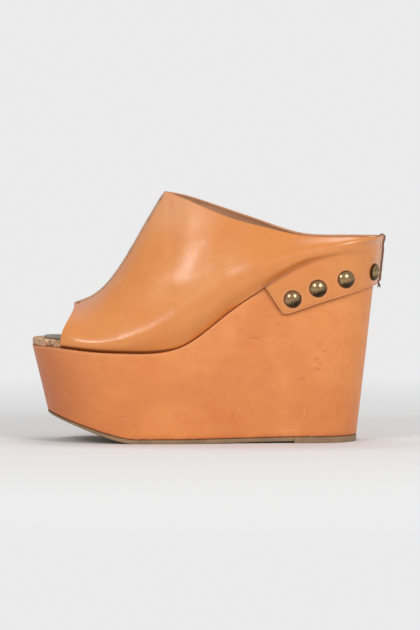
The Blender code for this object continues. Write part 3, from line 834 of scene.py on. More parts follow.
WEDGE_SCRATCHES = (
    (180.2, 21.8, 0.35, 5.0, 0, 0.45),
    (170.0, 8.6, 14.0, 0.35, 0, 0.35),
    (128.0, 8.9, 16.0, 0.30, 1, 0.25),
    (62.0, 16.5, 8.0, 0.30, 8, 0.30),
    (147.0, 67.9, 4.0, 0.35, 0, 0.30),
    (193.0, 63.5, 3.0, 0.40, 12, 0.35),
    (137.5, 22.0, 0.5, 2.2, 30, 0.30),
)


def leather_relief(look, waves=1.0):
    """Pores, fine grain and soft waves of smooth vegetable-tanned leather."""
    pores = look.ramp(look.cells(0.00075), 0.08, 0.45)
    grain_height = look.total(look.scaled(pores, 0.5), look.scaled(look.noise(0.0006, 4.0), 0.6))
    fine = look.bump(grain_height, 0.00007)
    soft = look.noise(0.013, 3.0, rough=0.5)
    return look.bump(soft, 0.00038 * waves, normal=fine)


def make_upper_leather():
    look = Look("upper_leather_look", TAN)
    cloud = look.ramp(look.noise(0.045, 3.0, distortion=0.4), 0.34, 0.68)
    mottle = look.ramp(look.noise(0.0085, 5.0, rough=0.6), 0.38, 0.72)
    speckle = look.ramp(look.noise(0.0016, 4.0, rough=0.65), 0.44, 0.74)
    look.paint(TAN_WARM, cloud, 0.75)
    look.paint(TAN_DARK, mottle, 0.22)
    look.paint(TAN_DARK, speckle, 0.10)
    # Paler patch round the throat, where the vamp faces up: painted sheen
    throat = (THROAT_SETBACK + 0.014, 0.0, THROAT_HEIGHT - 0.004)
    throat_sheen = look.spot(look.place, throat, (0.048, 0.070, 0.040), tilt=0.5, soft=0.15)
    look.paint(TAN_PALE_AND_HIGHLIGHT, throat_sheen, 0.60)
    toe = (PEEP_CROWN_SETBACK + 0.002, 0.0, PEEP_CROWN_HEIGHT)
    dull = look.spot(look.place, toe, (0.030, 0.045, 0.022), tilt=-0.35, soft=0.15)
    look.paint(TAN_DULL, dull, 0.70)
    rim = look.attribute("rim")
    burnished = look.fade(rim, 0.0, 0.0009)
    look.paint(TAN_DARK, burnished, 0.40)
    flap = look.attribute("flap")
    pressed = look.math("MULTIPLY", look.line(rim, 0.0013, 0.0007), flap)
    look.paint(TAN_DARK, pressed, 0.40)
    # Painted shade and dirt along the crease above the flap
    crease = look.attribute("crease")
    look.paint(CREASE_SHADE_AND_DIRT, crease, 0.55)
    # Painted shade in the gap where the upper tucks in at the deck's edge, and in the fold above the flap
    fold = look.ramp(look.attribute("fold"), 0.0, 1.0)
    look.paint(TUCK_SHADE, fold, 0.88)
    halo = look.attribute("stud")
    look.paint(EDGE_BROWN, look.fade(halo, 0.0, 0.0007), 0.8)
    look.paint(TAN_PALE_AND_HIGHLIGHT, look.line(halo, 0.0014, 0.0009), 0.25)
    relief = leather_relief(look)
    relief = look.bump(pressed, -0.00012, normal=relief)
    look.set(base_color=look.colour, normal=relief)
    look.set(roughness=look.total(look.scaled(mottle, 0.07), look.scaled(cloud, 0.04), 0.32))
    look.set(coat_weight=0.62, coat_roughness=0.21, specular_ior_level=0.50)
    return look.material


def make_wedge_leather():
    look = Look("wedge_leather_look", WEDGE_TAN)
    level = look.mapped(scale=(0.75, 1, 1))
    cloud = look.ramp(look.noise(0.034, 3.0, place=level, distortion=0.5), 0.34, 0.68)
    mottle = look.ramp(look.noise(0.0095, 5.0, place=level, rough=0.6), 0.40, 0.74)
    speckle = look.ramp(look.noise(0.0015, 4.0, rough=0.65), 0.46, 0.76)
    look.paint(WEDGE_WARM, cloud, 0.60)
    patches = look.ramp(look.noise(0.060, 2.0, place=level, distortion=0.8), 0.42, 0.66)
    look.paint(WEDGE_RED, patches, 0.38)
    look.paint(WEDGE_RED, mottle, 0.32)
    look.paint(WEDGE_DARK_DIRT_AND_SHADE, speckle, 0.10)
    # Darker towards the toe and front of the wedge: painted shade where the wall turns away from the light
    toe = look.spot(look.place, (-0.010, 0.0, 0.030), (0.092, 0.110, 0.090), soft=0.15)
    look.paint(WEDGE_DARK_DIRT_AND_SHADE, toe, 0.85)
    dirt = look.scaled(look.spots(WEDGE_DIRT, 0.0011), 0.70)
    look.paint(WEDGE_DARK_DIRT_AND_SHADE, dirt)
    scratches = look.spots(WEDGE_SCRATCHES, 0.0012)
    look.paint(FRAYED_PALE_AND_HIGHLIGHT, scratches)
    low = look.attribute("low")
    patchy = look.noise(0.009, 3.0)
    reddened = look.math("MULTIPLY", look.fade(low, 0.0006, 0.0042), look.ramp(patchy, 0.35, 0.6))
    look.paint(WEDGE_RED, reddened, 0.65)
    frays = look.ramp(look.noise(0.0035, 4.0), 0.60, 0.66)
    worn = look.math("MULTIPLY", look.fade(low, 0.0002, 0.0013), frays)
    look.paint(FRAYED_PALE_AND_HIGHLIGHT, worn, 0.85)
    burnt = look.fade(low, 0.0, 0.0005)
    look.paint(WEDGE_DARK_DIRT_AND_SHADE, burnt, 0.45)
    # Pale line just below the deck's rounded edge: painted highlight
    top = look.attribute("depth")
    rolled_edge_highlight = look.line(top, 0.0012, 0.0010)
    look.paint(TAN_PALE_AND_HIGHLIGHT, rolled_edge_highlight, 0.30)
    relief = leather_relief(look, waves=0.7)
    relief = look.bump(look.total(dirt, scratches), -0.00006, normal=relief)
    look.set(base_color=look.colour, normal=relief)
    look.set(roughness=look.total(look.scaled(mottle, 0.08), look.scaled(dirt, 0.15), 0.44))
    look.set(coat_weight=0.08, coat_roughness=0.32, specular_ior_level=0.38)
    return look.material


def make_lining():
    look = Look("lining_look", LINING_BROWN)
    streaks = look.ramp(look.noise(0.006, 4.0, place=look.mapped(scale=(0.3, 1, 1))), 0.35, 0.7)
    nap = look.noise(0.0007, 5.0, rough=0.7)
    look.paint(LINING_DARK, streaks, 0.45)
    look.paint(LINING_DARK, look.ramp(nap, 0.45, 0.75, 0.0, 0.35))
    rim = look.attribute("rim")
    look.paint(LINING_DARK, look.ramp(rim, 0.0005, 0.0030, 0.55, 0.0))
    look.set(base_color=look.colour, normal=look.bump(nap, 0.00018))
    look.set(roughness=look.total(look.scaled(nap, 0.15), 0.62), sheen_weight=0.15, sheen_roughness=0.5)
    return look.material


def make_cut_edge(name, tint, grime_and_shade=0.75):
    """Cut edge of the leather: fibres burnished to a dull tint."""
    look = Look(name, tint)
    fibres = look.noise(0.0005, 4.0, place=look.mapped(scale=(1, 1, 0.5)), rough=0.7)
    look.paint(TAN_DARK, look.ramp(fibres, 0.40, 0.72, 0.0, grime_and_shade))
    look.paint(EDGE_BROWN, look.ramp(look.noise(0.004, 3.0), 0.45, 0.7, 0.0, 0.5 * grime_and_shade))
    look.set(base_color=look.colour, normal=look.bump(fibres, 0.00015))
    look.set(roughness=look.total(look.scaled(fibres, 0.2), 0.5))
    return look.material


def make_sock_leather():
    look = Look("sock_leather_look", SOCK_GREY)
    nap = look.noise(0.0006, 5.0, rough=0.7)
    worn = look.ramp(look.noise(0.016, 4.0), 0.36, 0.70)
    look.paint(SOCK_DARK, worn, 0.45)
    for x, long in PRINT_STAINS:
        print_mask = look.spot(look.place, (x, 0.0, deck_height(x)), (long, 0.030, 0.03), soft=0.25)
        look.paint(SOCK_DARK, print_mask, 0.45)
    look.paint(SOCK_DARK, look.ramp(nap, 0.5, 0.8, 0.0, 0.3))
    look.set(base_color=look.colour, normal=look.bump(nap, 0.00016))
    look.set(roughness=look.total(look.scaled(nap, 0.15), 0.60), sheen_weight=0.12, sheen_roughness=0.5)
    return look.material


def make_cork():
    look = Look("cork_look", CORK)
    tint = look.cells(0.0021, "Color")
    shade = look.tree.nodes.new("ShaderNodeSeparateColor")
    look.put(shade, "Color", tint)
    borders = look.fade(look.cells(0.0021, feature="DISTANCE_TO_EDGE"), 0.0, 0.10)
    specks = look.ramp(look.noise(0.0011, 3.0, rough=0.6), 0.60, 0.67)
    look.paint(CORK_LIGHT, shade.outputs["Red"])
    dark = look.ramp(shade.outputs["Green"], 0.72, 0.86, 0.0, 0.55)
    look.paint(CORK_DARK, dark)
    look.paint(CORK_DARK, borders, 0.30)
    look.paint(CORK_DARK, specks, 0.85)
    pits = look.total(look.scaled(specks, -0.8), look.scaled(borders, -0.3), look.noise(0.0009, 4.0))
    look.set(base_color=look.colour, normal=look.bump(pits, 0.00030), roughness=0.78, specular_ior_level=0.3)
    return look.material


def make_rubber():
    look = Look("outsole_look", RUBBER)
    grit = look.noise(0.0009, 5.0, rough=0.65)
    stain = look.ramp(look.noise(0.014, 4.0), 0.38, 0.70)
    look.paint(RUBBER_DARK, stain, 0.35)
    look.paint(RUBBER_DARK, look.ramp(grit, 0.5, 0.75, 0.0, 0.35))
    look.set(base_color=look.colour, normal=look.bump(grit, 0.00016))
    look.set(roughness=look.total(look.scaled(grit, 0.15), 0.58), specular_ior_level=0.35)
    return look.material


def make_brass():
    look = Look("aged_brass_look", BRASS)
    # Darker by the attribute: patina in hammer hollows, and painted shade and dark reflection on the heads'
    # lower halves and steep edges
    dent_patina_and_shade = look.attribute("dent_patina_and_shade")
    patina = look.noise(0.0013, 5.0, rough=0.65)
    dark = look.total(look.ramp(dent_patina_and_shade, 0.15, 0.85), look.ramp(patina, 0.44, 0.72, 0.0, 0.45))
    look.paint(BRASS_PATINA_AND_SHADE, dark)
    look.set(base_color=look.colour, metallic=1.0)
    look.set(roughness=look.total(look.scaled(patina, 0.14), look.scaled(dent_patina_and_shade, 0.12), 0.16))
    look.set(normal=look.bump(patina, 0.00005))
    return look.material


def make_thread(name, tint):
    look = Look(name, tint)
    twist = look.noise(0.0004, 3.0)
    look.paint(EDGE_BROWN, look.ramp(twist, 0.4, 0.7, 0.0, 0.5))
    look.set(base_color=look.colour, normal=look.bump(twist, 0.0001), roughness=0.6)
    return look.material


# Wedge, sole and layers

def ring_turns(steps):
    return [step / steps for step in range(steps + 1)]


def loft_rows(places, steps, square_heel=False):
    """Rings of points, each from place(side, turn): to the heel on the lateral side, back on the medial."""
    rows = []
    for place in places:
        lateral = [place(LATERAL, turn) for turn in ring_turns(steps)]
        medial = [place(MEDIAL, turn) for turn in ring_turns(steps)]
        rows.append(lateral + (medial[1:] if square_heel else medial[1:-1])[::-1])
    return rows


def strip_cap(build, row, steps):
    count = len(row)
    for here in range(steps):
        corners = (row[here], row[here + 1], row[count - here - 1], row[(count - here) % count])
        build.faces.new(tuple(dict.fromkeys(corners)))


def grid_cap(build, row, steps, across, sink):
    """Closes a ring with a grid of faces, lowered by sink(point) inside the ring."""
    count = len(row)
    lines = []
    for here in range(1, steps):
        near, far = row[here], row[count - here]
        line = [near]
        for step in range(1, across):
            point = near.co.lerp(far.co, step / across)
            point.z -= sink(point) * math.sin(math.pi * step / across) ** 0.5
            line.append(build.verts.new(point))
        lines.append([*line, far])
    for first, second in zip(lines, lines[1:]):
        for step in range(across):
            build.faces.new((first[step], second[step], second[step + 1], first[step + 1]))
    for line, tip in ((lines[0], row[0]), (lines[-1], row[steps])):
        for step in range(across):
            build.faces.new((line[step], line[step + 1], tip))


def loft(rows, steps, layers=None, cap=None):
    """Solid through rings of points, lowest first. Layers holds a function of a point per attribute."""
    build = bmesh.new()
    for name in layers or {}:
        build.verts.layers.float.new(name)
    verts = []
    for row in rows:
        made = [build.verts.new(point) for point in row]
        for name, value in (layers or {}).items():
            layer = build.verts.layers.float[name]
            for vert in made:
                vert[layer] = value(vert.co)
        verts.append(made)
    count = len(rows[0])
    for low, high in zip(verts, verts[1:]):
        for here in range(count):
            there = (here + 1) % count
            build.faces.new((low[here], low[there], high[there], high[here]))
    strip_cap(build, verts[0], steps)
    if cap:
        cap(build, verts[-1])
    else:
        strip_cap(build, verts[-1], steps)
    return build


def wall_wave(point, size, height):
    """Slight unevenness of a covered wall, in metres."""
    return height * noise.noise(point / size, noise_basis="PERLIN_ORIGINAL")


def make_wedge_cover(leather):
    """Wedge with its leather drawn over rounded edges, slightly uneven as glued leather is."""
    soft = DECK_EDGE_RADIUS

    def wall(share):
        def place(side, turn):
            top = deck_height(deck_edge(side, turn).x)
            foot = wedge_bottom(sole_edge(side, turn).x)
            depth = soft + share * (top - foot - soft)
            point = wall_point(side, turn, depth)
            out = Vector((*outward(side, turn), 0.0))
            swell = wall_wave(point, WEDGE_WAVE_SIZE, WEDGE_WAVE_HEIGHT)
            swell *= math.sin(math.pi * min(share + 0.02, 1.0))
            tuck = FOOT_TUCK * (1 - min((top - foot - depth) / FOOT_TUCK_HEIGHT, 1.0)) ** 2
            return point + out * (swell - tuck)

        return place

    def deck_ring(angle):
        def place(side, turn):
            inset = soft * (1 - math.cos(angle))
            drop = soft * (1 - math.sin(angle))
            return offset_point(side, turn, -inset, lambda x: deck_height(x) - drop)

        return place

    shares = [1 - step / WALL_ROWS for step in range(WALL_ROWS + 1)]
    shares = [*FOOT_ROWS, *[share for share in shares[1:] if share < FOOT_ROWS_END]]
    rounds = [deck_ring(math.radians(angle)) for angle in DECK_EDGE_ANGLES]
    places = [wall(share) for share in shares] + rounds
    rows = loft_rows(places, LAYER_STEPS)

    def low(point):
        return point.z - wedge_bottom(point.x)

    def depth(point):
        return deck_height(point.x) - point.z

    build = loft(rows, LAYER_STEPS, {"low": low, "depth": depth})
    add_piece("wedge_cover", build, [leather], ["platform_wedge"])


def layer_places(offset_at, base, thickness, radius, side_rows):
    """Rings of an even layer on the deck, from its underside to the start of its top."""

    def at(inset, lift):
        def place(side, turn):
            return offset_point(side, turn, offset_at(turn) - inset, lambda x: deck_height(x) + lift)

        return place

    top = base + thickness
    rises = [base + (thickness - radius) * step / side_rows for step in range(side_rows + 1)]
    places = [at(0.0, rise) for rise in rises]
    for angle in LAYER_EDGE_ANGLES:
        bend = math.radians(angle)
        places.append(at(radius * (1 - math.cos(bend)), top - radius * (1 - math.sin(bend))))
    return places


def chip(rows):
    """Chips the rings of points by an uneven amount, towards the middle line."""
    for row in rows:
        for point in row:
            rough = noise.noise(point / CHIP_SIZE, noise_basis="VORONOI_F1")
            middle_x = min(max(point.x, TOE_ROUND_LENGTH), DECK_LENGTH - HEEL_ROUND_LENGTH)
            middle = Vector((middle_x, 0.0, point.z))
            point += (middle - point).normalized() * CHIP_DEPTH * rough
    return rows


def make_footbed(cork):
    places = layer_places(footbed_offset, GAP, FOOTBED_THICKNESS, FOOTBED_EDGE_RADIUS, FOOTBED_SIDE_ROWS)
    steps = 2 * LAYER_STEPS
    build = loft(chip(loft_rows(places, steps)), steps)
    add_piece("cork_footbed", build, [cork], ["footbed"])


def foot_print(point):
    """Depth that the ball and the heel of the foot have pressed into the sock lining."""
    depth = 0.0
    for x, long, deep in FOOT_PRINTS:
        depth += deep * math.exp(-(((point.x - x) / long) ** 2))
    return depth


def make_sock(leather):
    base = GAP + FOOTBED_THICKNESS + GAP
    places = layer_places(sock_offset, base, SOCK_THICKNESS, SOCK_THICKNESS / 2, SOCK_SIDE_ROWS)

    def cap(build, row):
        grid_cap(build, row, LAYER_STEPS, SOCK_GRID, foot_print)

    build = loft(loft_rows(places, LAYER_STEPS), LAYER_STEPS, cap=cap)
    add_piece("sock_lining", build, [leather], ["insole_sock"])


def sole_turn(x):
    """Turn parameter of a place along the outline of the sole."""
    span = DECK_LENGTH - TOE_UNDERCUT - HEEL_UNDERCUT
    return math.acos(1 - 2 * (x - TOE_UNDERCUT) / span) / math.pi


def add_sole_piece(name, node, rubber, turned, limited, tread, sides):
    """Rubber piece with a bevelled tread, kept on its part of the outline by turned(turn) and limited(x).

    The tread and the rings of its sides are heights as functions of x.
    """

    def at(inset, height):
        def place(side, turn):
            point = sole_point(side, turned(turn), inset, height)
            point.x = limited(point.x)
            return point

        return place

    bevel = TREAD_EDGE_BEVEL
    raised = bevel / 2 * 0.6
    places = [at(bevel * 3, tread), at(bevel, tread), at(raised, lambda x: tread(x) + raised)]
    places += [at(0.0, height) for height in sides]
    build = loft(loft_rows(places, LAYER_STEPS, square_heel=True), LAYER_STEPS)
    add_piece(name, build, [rubber], [node])


def make_outsole(rubber):
    end = top_piece_front() - GAP
    last_turn = sole_turn(end)

    def side_height(share):
        def height(x):
            low = tread_height(x) + TREAD_EDGE_BEVEL
            return low + share * (outsole_top(x) - low)

        return height

    def turned(turn):
        return turn * last_turn

    def limited(x):
        return min(x, end)

    sides = [side_height(share) for share in (0.0, 0.33, 0.67, 1.0)]
    add_sole_piece("outsole_tread", "outsole", rubber, turned, limited, tread_height, sides)


def make_heel_pad(rubber):
    front = top_piece_front()
    first_turn = sole_turn(front)

    def level(height):
        return lambda x: height

    def turned(turn):
        return 1 - turn * (1 - first_turn)

    def limited(x):
        return max(x, front)

    full = TOP_PIECE_THICKNESS
    sides = [level(height) for height in (TREAD_EDGE_BEVEL, full * 0.4, full * 0.7, full)]
    add_sole_piece("heel_pad", "heel_top_piece", rubber, turned, limited, level(0.0), sides)


# Upper

UPPER_LAYERS = ("rim", "fold", "stud", "flap", "crease")


def line_distance(points, line):
    """Distance of points in the side view from a line of points, and how far along the line they are."""
    best = np.full(len(points), 1e9)
    share = np.zeros(len(points))
    line = np.array(line)
    for here, (start, end) in enumerate(zip(line, line[1:])):
        along = end - start
        far = np.clip((points - start) @ along / (along @ along), 0.0, 1.0)
        away = np.linalg.norm(points - start - far[:, None] * along, axis=1)
        nearer = away < best
        best[nearer] = away[nearer]
        share[nearer] = ((here + far) / (len(line) - 1))[nearer]
    return best, share


def crease_offsets(verts):
    """Move of each vertex along its normal, from the creases and from the slight waves of worn leather."""
    places = np.array([vert.co for vert in verts])
    flat = places[:, (0, 2)]
    moves = np.zeros(len(verts))
    for depth, width, medial, line in CREASES:
        away, share = line_distance(flat, line)
        fade = np.sin(np.pi * np.clip(share, 0.02, 0.98)) ** 0.6
        trough = np.exp(-((away / width) ** 2))
        lips = 0.45 * np.exp(-(((away - 2 * width) / width) ** 2))
        strength = np.where(places[:, 1] > 0, medial, 1.0)
        moves -= depth * (trough - lips) * fade * strength
    waves = [wall_wave(vert.co, UPPER_WAVE_SIZE, UPPER_WAVE_HEIGHT) for vert in verts]
    return moves + np.array(waves)


def upper_grid(build):
    """Outer face of the upper, both sides joined at the vamp's centre line and the back."""
    flap_turn = turn_at(flap_front())
    for side in (LATERAL, MEDIAL):
        columns = []
        for turn in upper_turns():
            low = flap_column(side, turn) if turn >= flap_turn - SAME_TURN else [None] * FLAP_STEPS
            columns.append([point and build.verts.new(point) for point in low + section(side, turn)])
        for near, far in zip(columns, columns[1:]):
            for row in range(len(near) - 1):
                corners = (near[row], far[row], far[row + 1], near[row + 1])
                if all(corners):
                    build.faces.new(corners if side == LATERAL else corners[::-1])
    bmesh.ops.remove_doubles(build, verts=build.verts, dist=SAME_POINT)
    bmesh.ops.recalc_face_normals(build, faces=build.faces)


def boundary_loops(build):
    """Closed loops of vertices along the open edges of a surface."""
    open_edges = {edge for edge in build.edges if edge.is_boundary}
    loops = []
    while open_edges:
        edge = min(open_edges, key=lambda found: found.index)
        start, here = edge.verts
        loop = [start]
        while True:
            open_edges.discard(edge)
            loop.append(here)
            following = [found for found in here.link_edges if found in open_edges]
            if not following:
                break
            edge = following[0]
            here = edge.other_vert(here)
        loops.append(loop[:-1] if loop[0] == loop[-1] else loop)
    return loops


def rim_outward(loop, here, normals):
    """Direction out of the surface at a vertex of an open edge."""
    vert = loop[here]
    before, after = loop[here - 1], loop[(here + 1) % len(loop)]
    along = (after.co - before.co).normalized()
    out = along.cross(normals[vert]).normalized()
    middle = Vector()
    for face in vert.link_faces:
        middle += face.calc_center_median() / len(vert.link_faces)
    return out if out.dot(vert.co - middle) >= 0 else -out


def tuck_shade_share(x, above):
    """Share of painted shade where the leather tucks in at the deck's edge: a gap in front, a fold above the
    flap.
    """
    front = 1 - smoothstep(x, THROAT_SETBACK - 0.010, THROAT_SETBACK + 0.030)
    height = 0.0011 + 0.0019 * front
    deep = 1 - smoothstep(abs(above), 0.35 * height, height)
    flap = smoothstep(x, flap_front() - 0.004, flap_front() + 0.012)
    return deep * (0.55 + 0.45 * front) * (1 - flap)


def upper_attributes(build, loops):
    """Distances to the cut edges and to the studs, and shares of the painted shade at the fold, of the flap,
    and of the painted shade and dirt in the dark crease.
    """
    names = {name: build.verts.layers.float[name] for name in UPPER_LAYERS}
    cut = []
    for loop in loops:
        for vert in loop:
            tucked = vert.co.x < flap_front() and vert.co.z < deck_height(vert.co.x) + 2 * GAP
            if not tucked:
                cut.append(vert.co.copy())
    tree = kdtree.KDTree(len(cut))
    for spot, point in enumerate(cut):
        tree.insert(point, spot)
    tree.balance()
    heads = [matrix.translation for matrix in all_stud_matrices().values()]
    # Painted shade and dirt along the first crease, fading towards its end
    _, width, _, line = CREASES[0]
    away, share = line_distance(np.array([vert.co for vert in build.verts])[:, (0, 2)], line)
    shaded = np.exp(-((away / (0.75 * width)) ** 2)) * np.clip(1.15 - share, 0.0, 1.0)
    for vert, dark in zip(build.verts, shaded):
        vert[names["crease"]] = dark
        vert[names["rim"]] = tree.find(vert.co)[2]
        above = vert.co.z - deck_height(min(max(vert.co.x, 0.0), DECK_LENGTH))
        vert[names["fold"]] = tuck_shade_share(vert.co.x, above)
        vert[names["flap"]] = smoothstep(-above, -0.002, 0.002)
        away = min((vert.co - head).length for head in heads)
        vert[names["stud"]] = max(away - STUD_RADIUS, 0.0)


def on_flap(vert):
    return vert.co.x > flap_front() and vert.co.z < deck_height(min(vert.co.x, DECK_LENGTH)) + GAP


def add_wall(build, loops):
    """Gives the outer face its wall: the lining's face inside and a rounded cut edge along every opening."""
    outer_faces = list(build.faces)
    normals = {vert: vert.normal.copy() for vert in build.verts}
    rim = build.verts.layers.float["rim"]
    loop_outs = [[rim_outward(loop, here, normals) for here in range(len(loop))] for loop in loops]
    inner = {}
    for vert in list(build.verts):
        made = build.verts.new(vert.co - normals[vert] * UPPER_WALL)
        for layer in build.verts.layers.float.values():
            made[layer] = vert[layer]
        inner[vert] = made
    for face in outer_faces:
        made = build.faces.new([inner[vert] for vert in reversed(face.verts)])
        made.material_index = 1
    for loop, outs in zip(loops, loop_outs):
        columns = []
        for vert, out in zip(loop, outs):
            column = [vert]
            for across, swell in CUT_EDGE_PROFILE:
                point = vert.co.lerp(inner[vert].co, across) + out * swell * CUT_EDGE_SWELL
                made = build.verts.new(point)
                made[rim] = 0.0
                column.append(made)
            columns.append([*column, inner[vert]])
        for here, column in enumerate(columns):
            following = columns[(here + 1) % len(columns)]
            for step in range(len(column) - 1):
                corners = (column[step], following[step], following[step + 1], column[step + 1])
                face = build.faces.new(corners)
                face.material_index = 3 if on_flap(loop[here]) else 2


def make_upper(leather, lining, top_edge, flap_edge):
    build = bmesh.new()
    for name in UPPER_LAYERS:
        build.verts.layers.float.new(name)
    upper_grid(build)
    build.normal_update()
    verts = list(build.verts)
    for vert, move in zip(verts, crease_offsets(verts)):
        vert.co += vert.normal * move
    build.normal_update()
    build.edges.index_update()
    loops = boundary_loops(build)
    upper_attributes(build, loops)
    add_wall(build, loops)
    add_piece("upper_shell", build, [leather, lining, top_edge, flap_edge], ["upper"])


def ridge(name, line, outs, profile, materials):
    """Ridge with a cross-section across y, swept along a line in the middle plane.

    The profile gives for each point: y, height along the outward direction, and the material's place.
    """
    build = bmesh.new()
    rows = []
    for here, (point, out) in enumerate(zip(line, outs)):
        end = min(here, len(line) - 1 - here) / 3
        size = min(0.35 + 0.65 * end, 1.0)
        wobble = 1 + SEAM_WOBBLE * noise.noise(point / SEAM_WOBBLE_SIZE, noise_basis="PERLIN_ORIGINAL")
        row = []
        for y, height, _ in profile:
            row.append(build.verts.new(point + Vector((0, y * size, 0)) + out * height * wobble * size))
        rows.append(row)
    for first, second in zip(rows, rows[1:]):
        for step in range(len(profile) - 1):
            face = build.faces.new((first[step], first[step + 1], second[step + 1], second[step]))
            face.material_index = profile[step][2]
    build.faces.new(rows[0])
    build.faces.new(rows[-1])
    add_piece(name, build, materials)


def line_outs(line):
    """Directions out of a line of points in the middle plane, on the left of its travel."""
    outs = []
    for here in range(len(line)):
        before, after = line[max(here - 1, 0)], line[min(here + 1, len(line) - 1)]
        along = (after - before).normalized()
        outs.append(Vector((-along.z, 0.0, along.x)))
    return outs


def make_front_seam(cut_edge):
    """Raw edges of the two halves, standing up side by side along the vamp's centre line."""
    turns = [turn for turn in upper_turns() if along_at(turn) * DECK_LENGTH <= throat_foot() + SAME_TURN]
    line = [crown_point(LATERAL, turn) for turn in turns]
    half, high = FRONT_SEAM_WIDTH / 2, FRONT_SEAM_HEIGHT
    profile = (
        (-half, SEAM_ROOT, 0),
        (-half, high * 0.3, 0),
        (-half * 0.8, high * 0.9, 0),
        (-half * 0.35, high, 0),
        (0.0, high * 0.55, 0),
        (half * 0.35, high, 0),
        (half * 0.8, high * 0.9, 0),
        (half, high * 0.3, 0),
        (half, SEAM_ROOT, 0),
    )
    ridge("front_seam", line, line_outs(line), profile, [cut_edge])


def make_back_seam(cut_edge, leather, fold):
    """Both halves turned outwards and sewn together down the centre back, with dark raw edges and a pale
    strip at each root painted as the highlight of the fold.
    """
    line = [*flap_column(LATERAL, 1.0), *section(LATERAL, 1.0)][::-1]
    line = [Vector((point.x, 0.0, point.z)) for point in line]
    rim = line[0]
    line = [rim + Vector((-0.0018, 0, -0.0022)), rim + Vector((-0.0012, 0, -0.0002)), *line]
    half, high = BACK_SEAM_WIDTH / 2, BACK_SEAM_HEIGHT
    # Material 2, the pale strips at the root, is a painted highlight on the leather's fold
    profile = (
        (-half - 0.0011, SEAM_ROOT, 2),
        (-half - 0.0006, 0.0003, 2),
        (-half, 0.0006, 1),
        (-half, high * 0.50, 0),
        (-half * 0.75, high * 0.96, 0),
        (-half * 0.25, high, 0),
        (0.0, high * 0.75, 0),
        (half * 0.25, high, 0),
        (half * 0.75, high * 0.96, 0),
        (half, high * 0.50, 1),
        (half, 0.0006, 2),
        (half + 0.0006, 0.0003, 2),
        (half + 0.0011, SEAM_ROOT, 2),
    )
    ridge("back_seam", line, line_outs(line), profile, [cut_edge, leather, fold])


def tube(build, points, radius):
    """Thin round thread through a few points, tapered at its ends."""
    rows = []
    for here, point in enumerate(points):
        before, after = points[max(here - 1, 0)], points[min(here + 1, len(points) - 1)]
        turn = (after - before).to_track_quat("Z", "Y")
        size = radius * (0.55 if here in (0, len(points) - 1) else 1.0)
        ring = []
        for side in range(THREAD_SIDES):
            angle = math.tau * side / THREAD_SIDES
            ring.append(build.verts.new(point + turn @ Vector((math.cos(angle), math.sin(angle), 0)) * size))
        rows.append(ring)
    for first, second in zip(rows, rows[1:]):
        for side in range(THREAD_SIDES):
            there = (side + 1) % THREAD_SIDES
            build.faces.new((first[side], first[there], second[there], second[side]))
    build.faces.new(rows[0])
    build.faces.new(rows[-1])


def make_tacks(pale_thread, dark_thread):
    """Bar tack at the throat, thread ends at the peep and thread ends under the back seam."""
    build = bmesh.new()
    throat_turn = turn_at(throat_foot() + 0.0035)
    for side in (LATERAL, MEDIAL):
        points = section(side, throat_turn)
        normal = Vector((0.0, side * 0.8, 0.6)).normalized()
        start, end = points[-4] - normal * 0.0002, points[-7] - normal * 0.0002
        lift = normal * 0.0006
        tube(build, [start, start.lerp(end, 0.2) + lift, start.lerp(end, 0.8) + lift, end], TACK_RADIUS)
    add_piece("throat_tack", build, [pale_thread])

    build = bmesh.new()
    peep_turn = turn_at(PEEP_SETBACK + 0.0030)
    for side in (LATERAL, MEDIAL):
        start = section(side, peep_turn)[-3]
        normal = Vector((-0.2, side * 0.6, 0.8)).normalized()
        end = start + Vector((0.0012, 0.0, 0.0002))
        tube(build, [start, start + normal * 0.0003, end + normal * 0.0003, end], PEEP_THREAD_RADIUS)
    back = flap_column(LATERAL, 1.0)[0]
    base = Vector((back.x + 0.0008, 0.0, back.z - 0.0002))
    hanging = (
        (-0.0012, 0.0006, -0.0022),
        (0.0, 0.0012, -0.0026),
        (0.0011, 0.0002, -0.0018),
        (0.0004, -0.0006, -0.0024),
    )
    for y, x, z in hanging:
        start = base + Vector((0.0, y, 0.0012))
        end = base + Vector((x, y * 1.3, z))
        bend = start.lerp(end, 0.5) + Vector((0.0005, y * 0.4, 0.0))
        tube(build, [start, bend, end], BACK_THREAD_RADIUS)
    add_piece("seam_thread_ends", build, [dark_thread])


# Studs

def stud_matrix(side, row):
    """Frame of a stud: z out of the flap's outer face, origin on that face."""
    run = DECK_LENGTH - flap_corner()
    turn = turn_at(flap_corner() + STUDS.columns["along"][row] * run)
    depth = flap_depth(turn) - STUDS.columns["height"][row]
    level = Vector((*outward(side, turn), 0.0))
    slope = wall_point(side, turn, 0.0) - wall_point(side, turn, FLAP_DEPTH)
    out = level - slope * level.dot(slope) / slope.length_squared
    place = wall_point(side, turn, depth) + level * flap_standoff()
    return Matrix.Translation(place) @ out.to_track_quat("Z", "Y").to_matrix().to_4x4()


def all_stud_matrices():
    named = {}
    for side, word in ((LATERAL, "lateral"), (MEDIAL, "medial")):
        for row in range(len(STUDS.at)):
            named[f"stud_{word}_{row + 1}"] = stud_matrix(side, row)
    return named


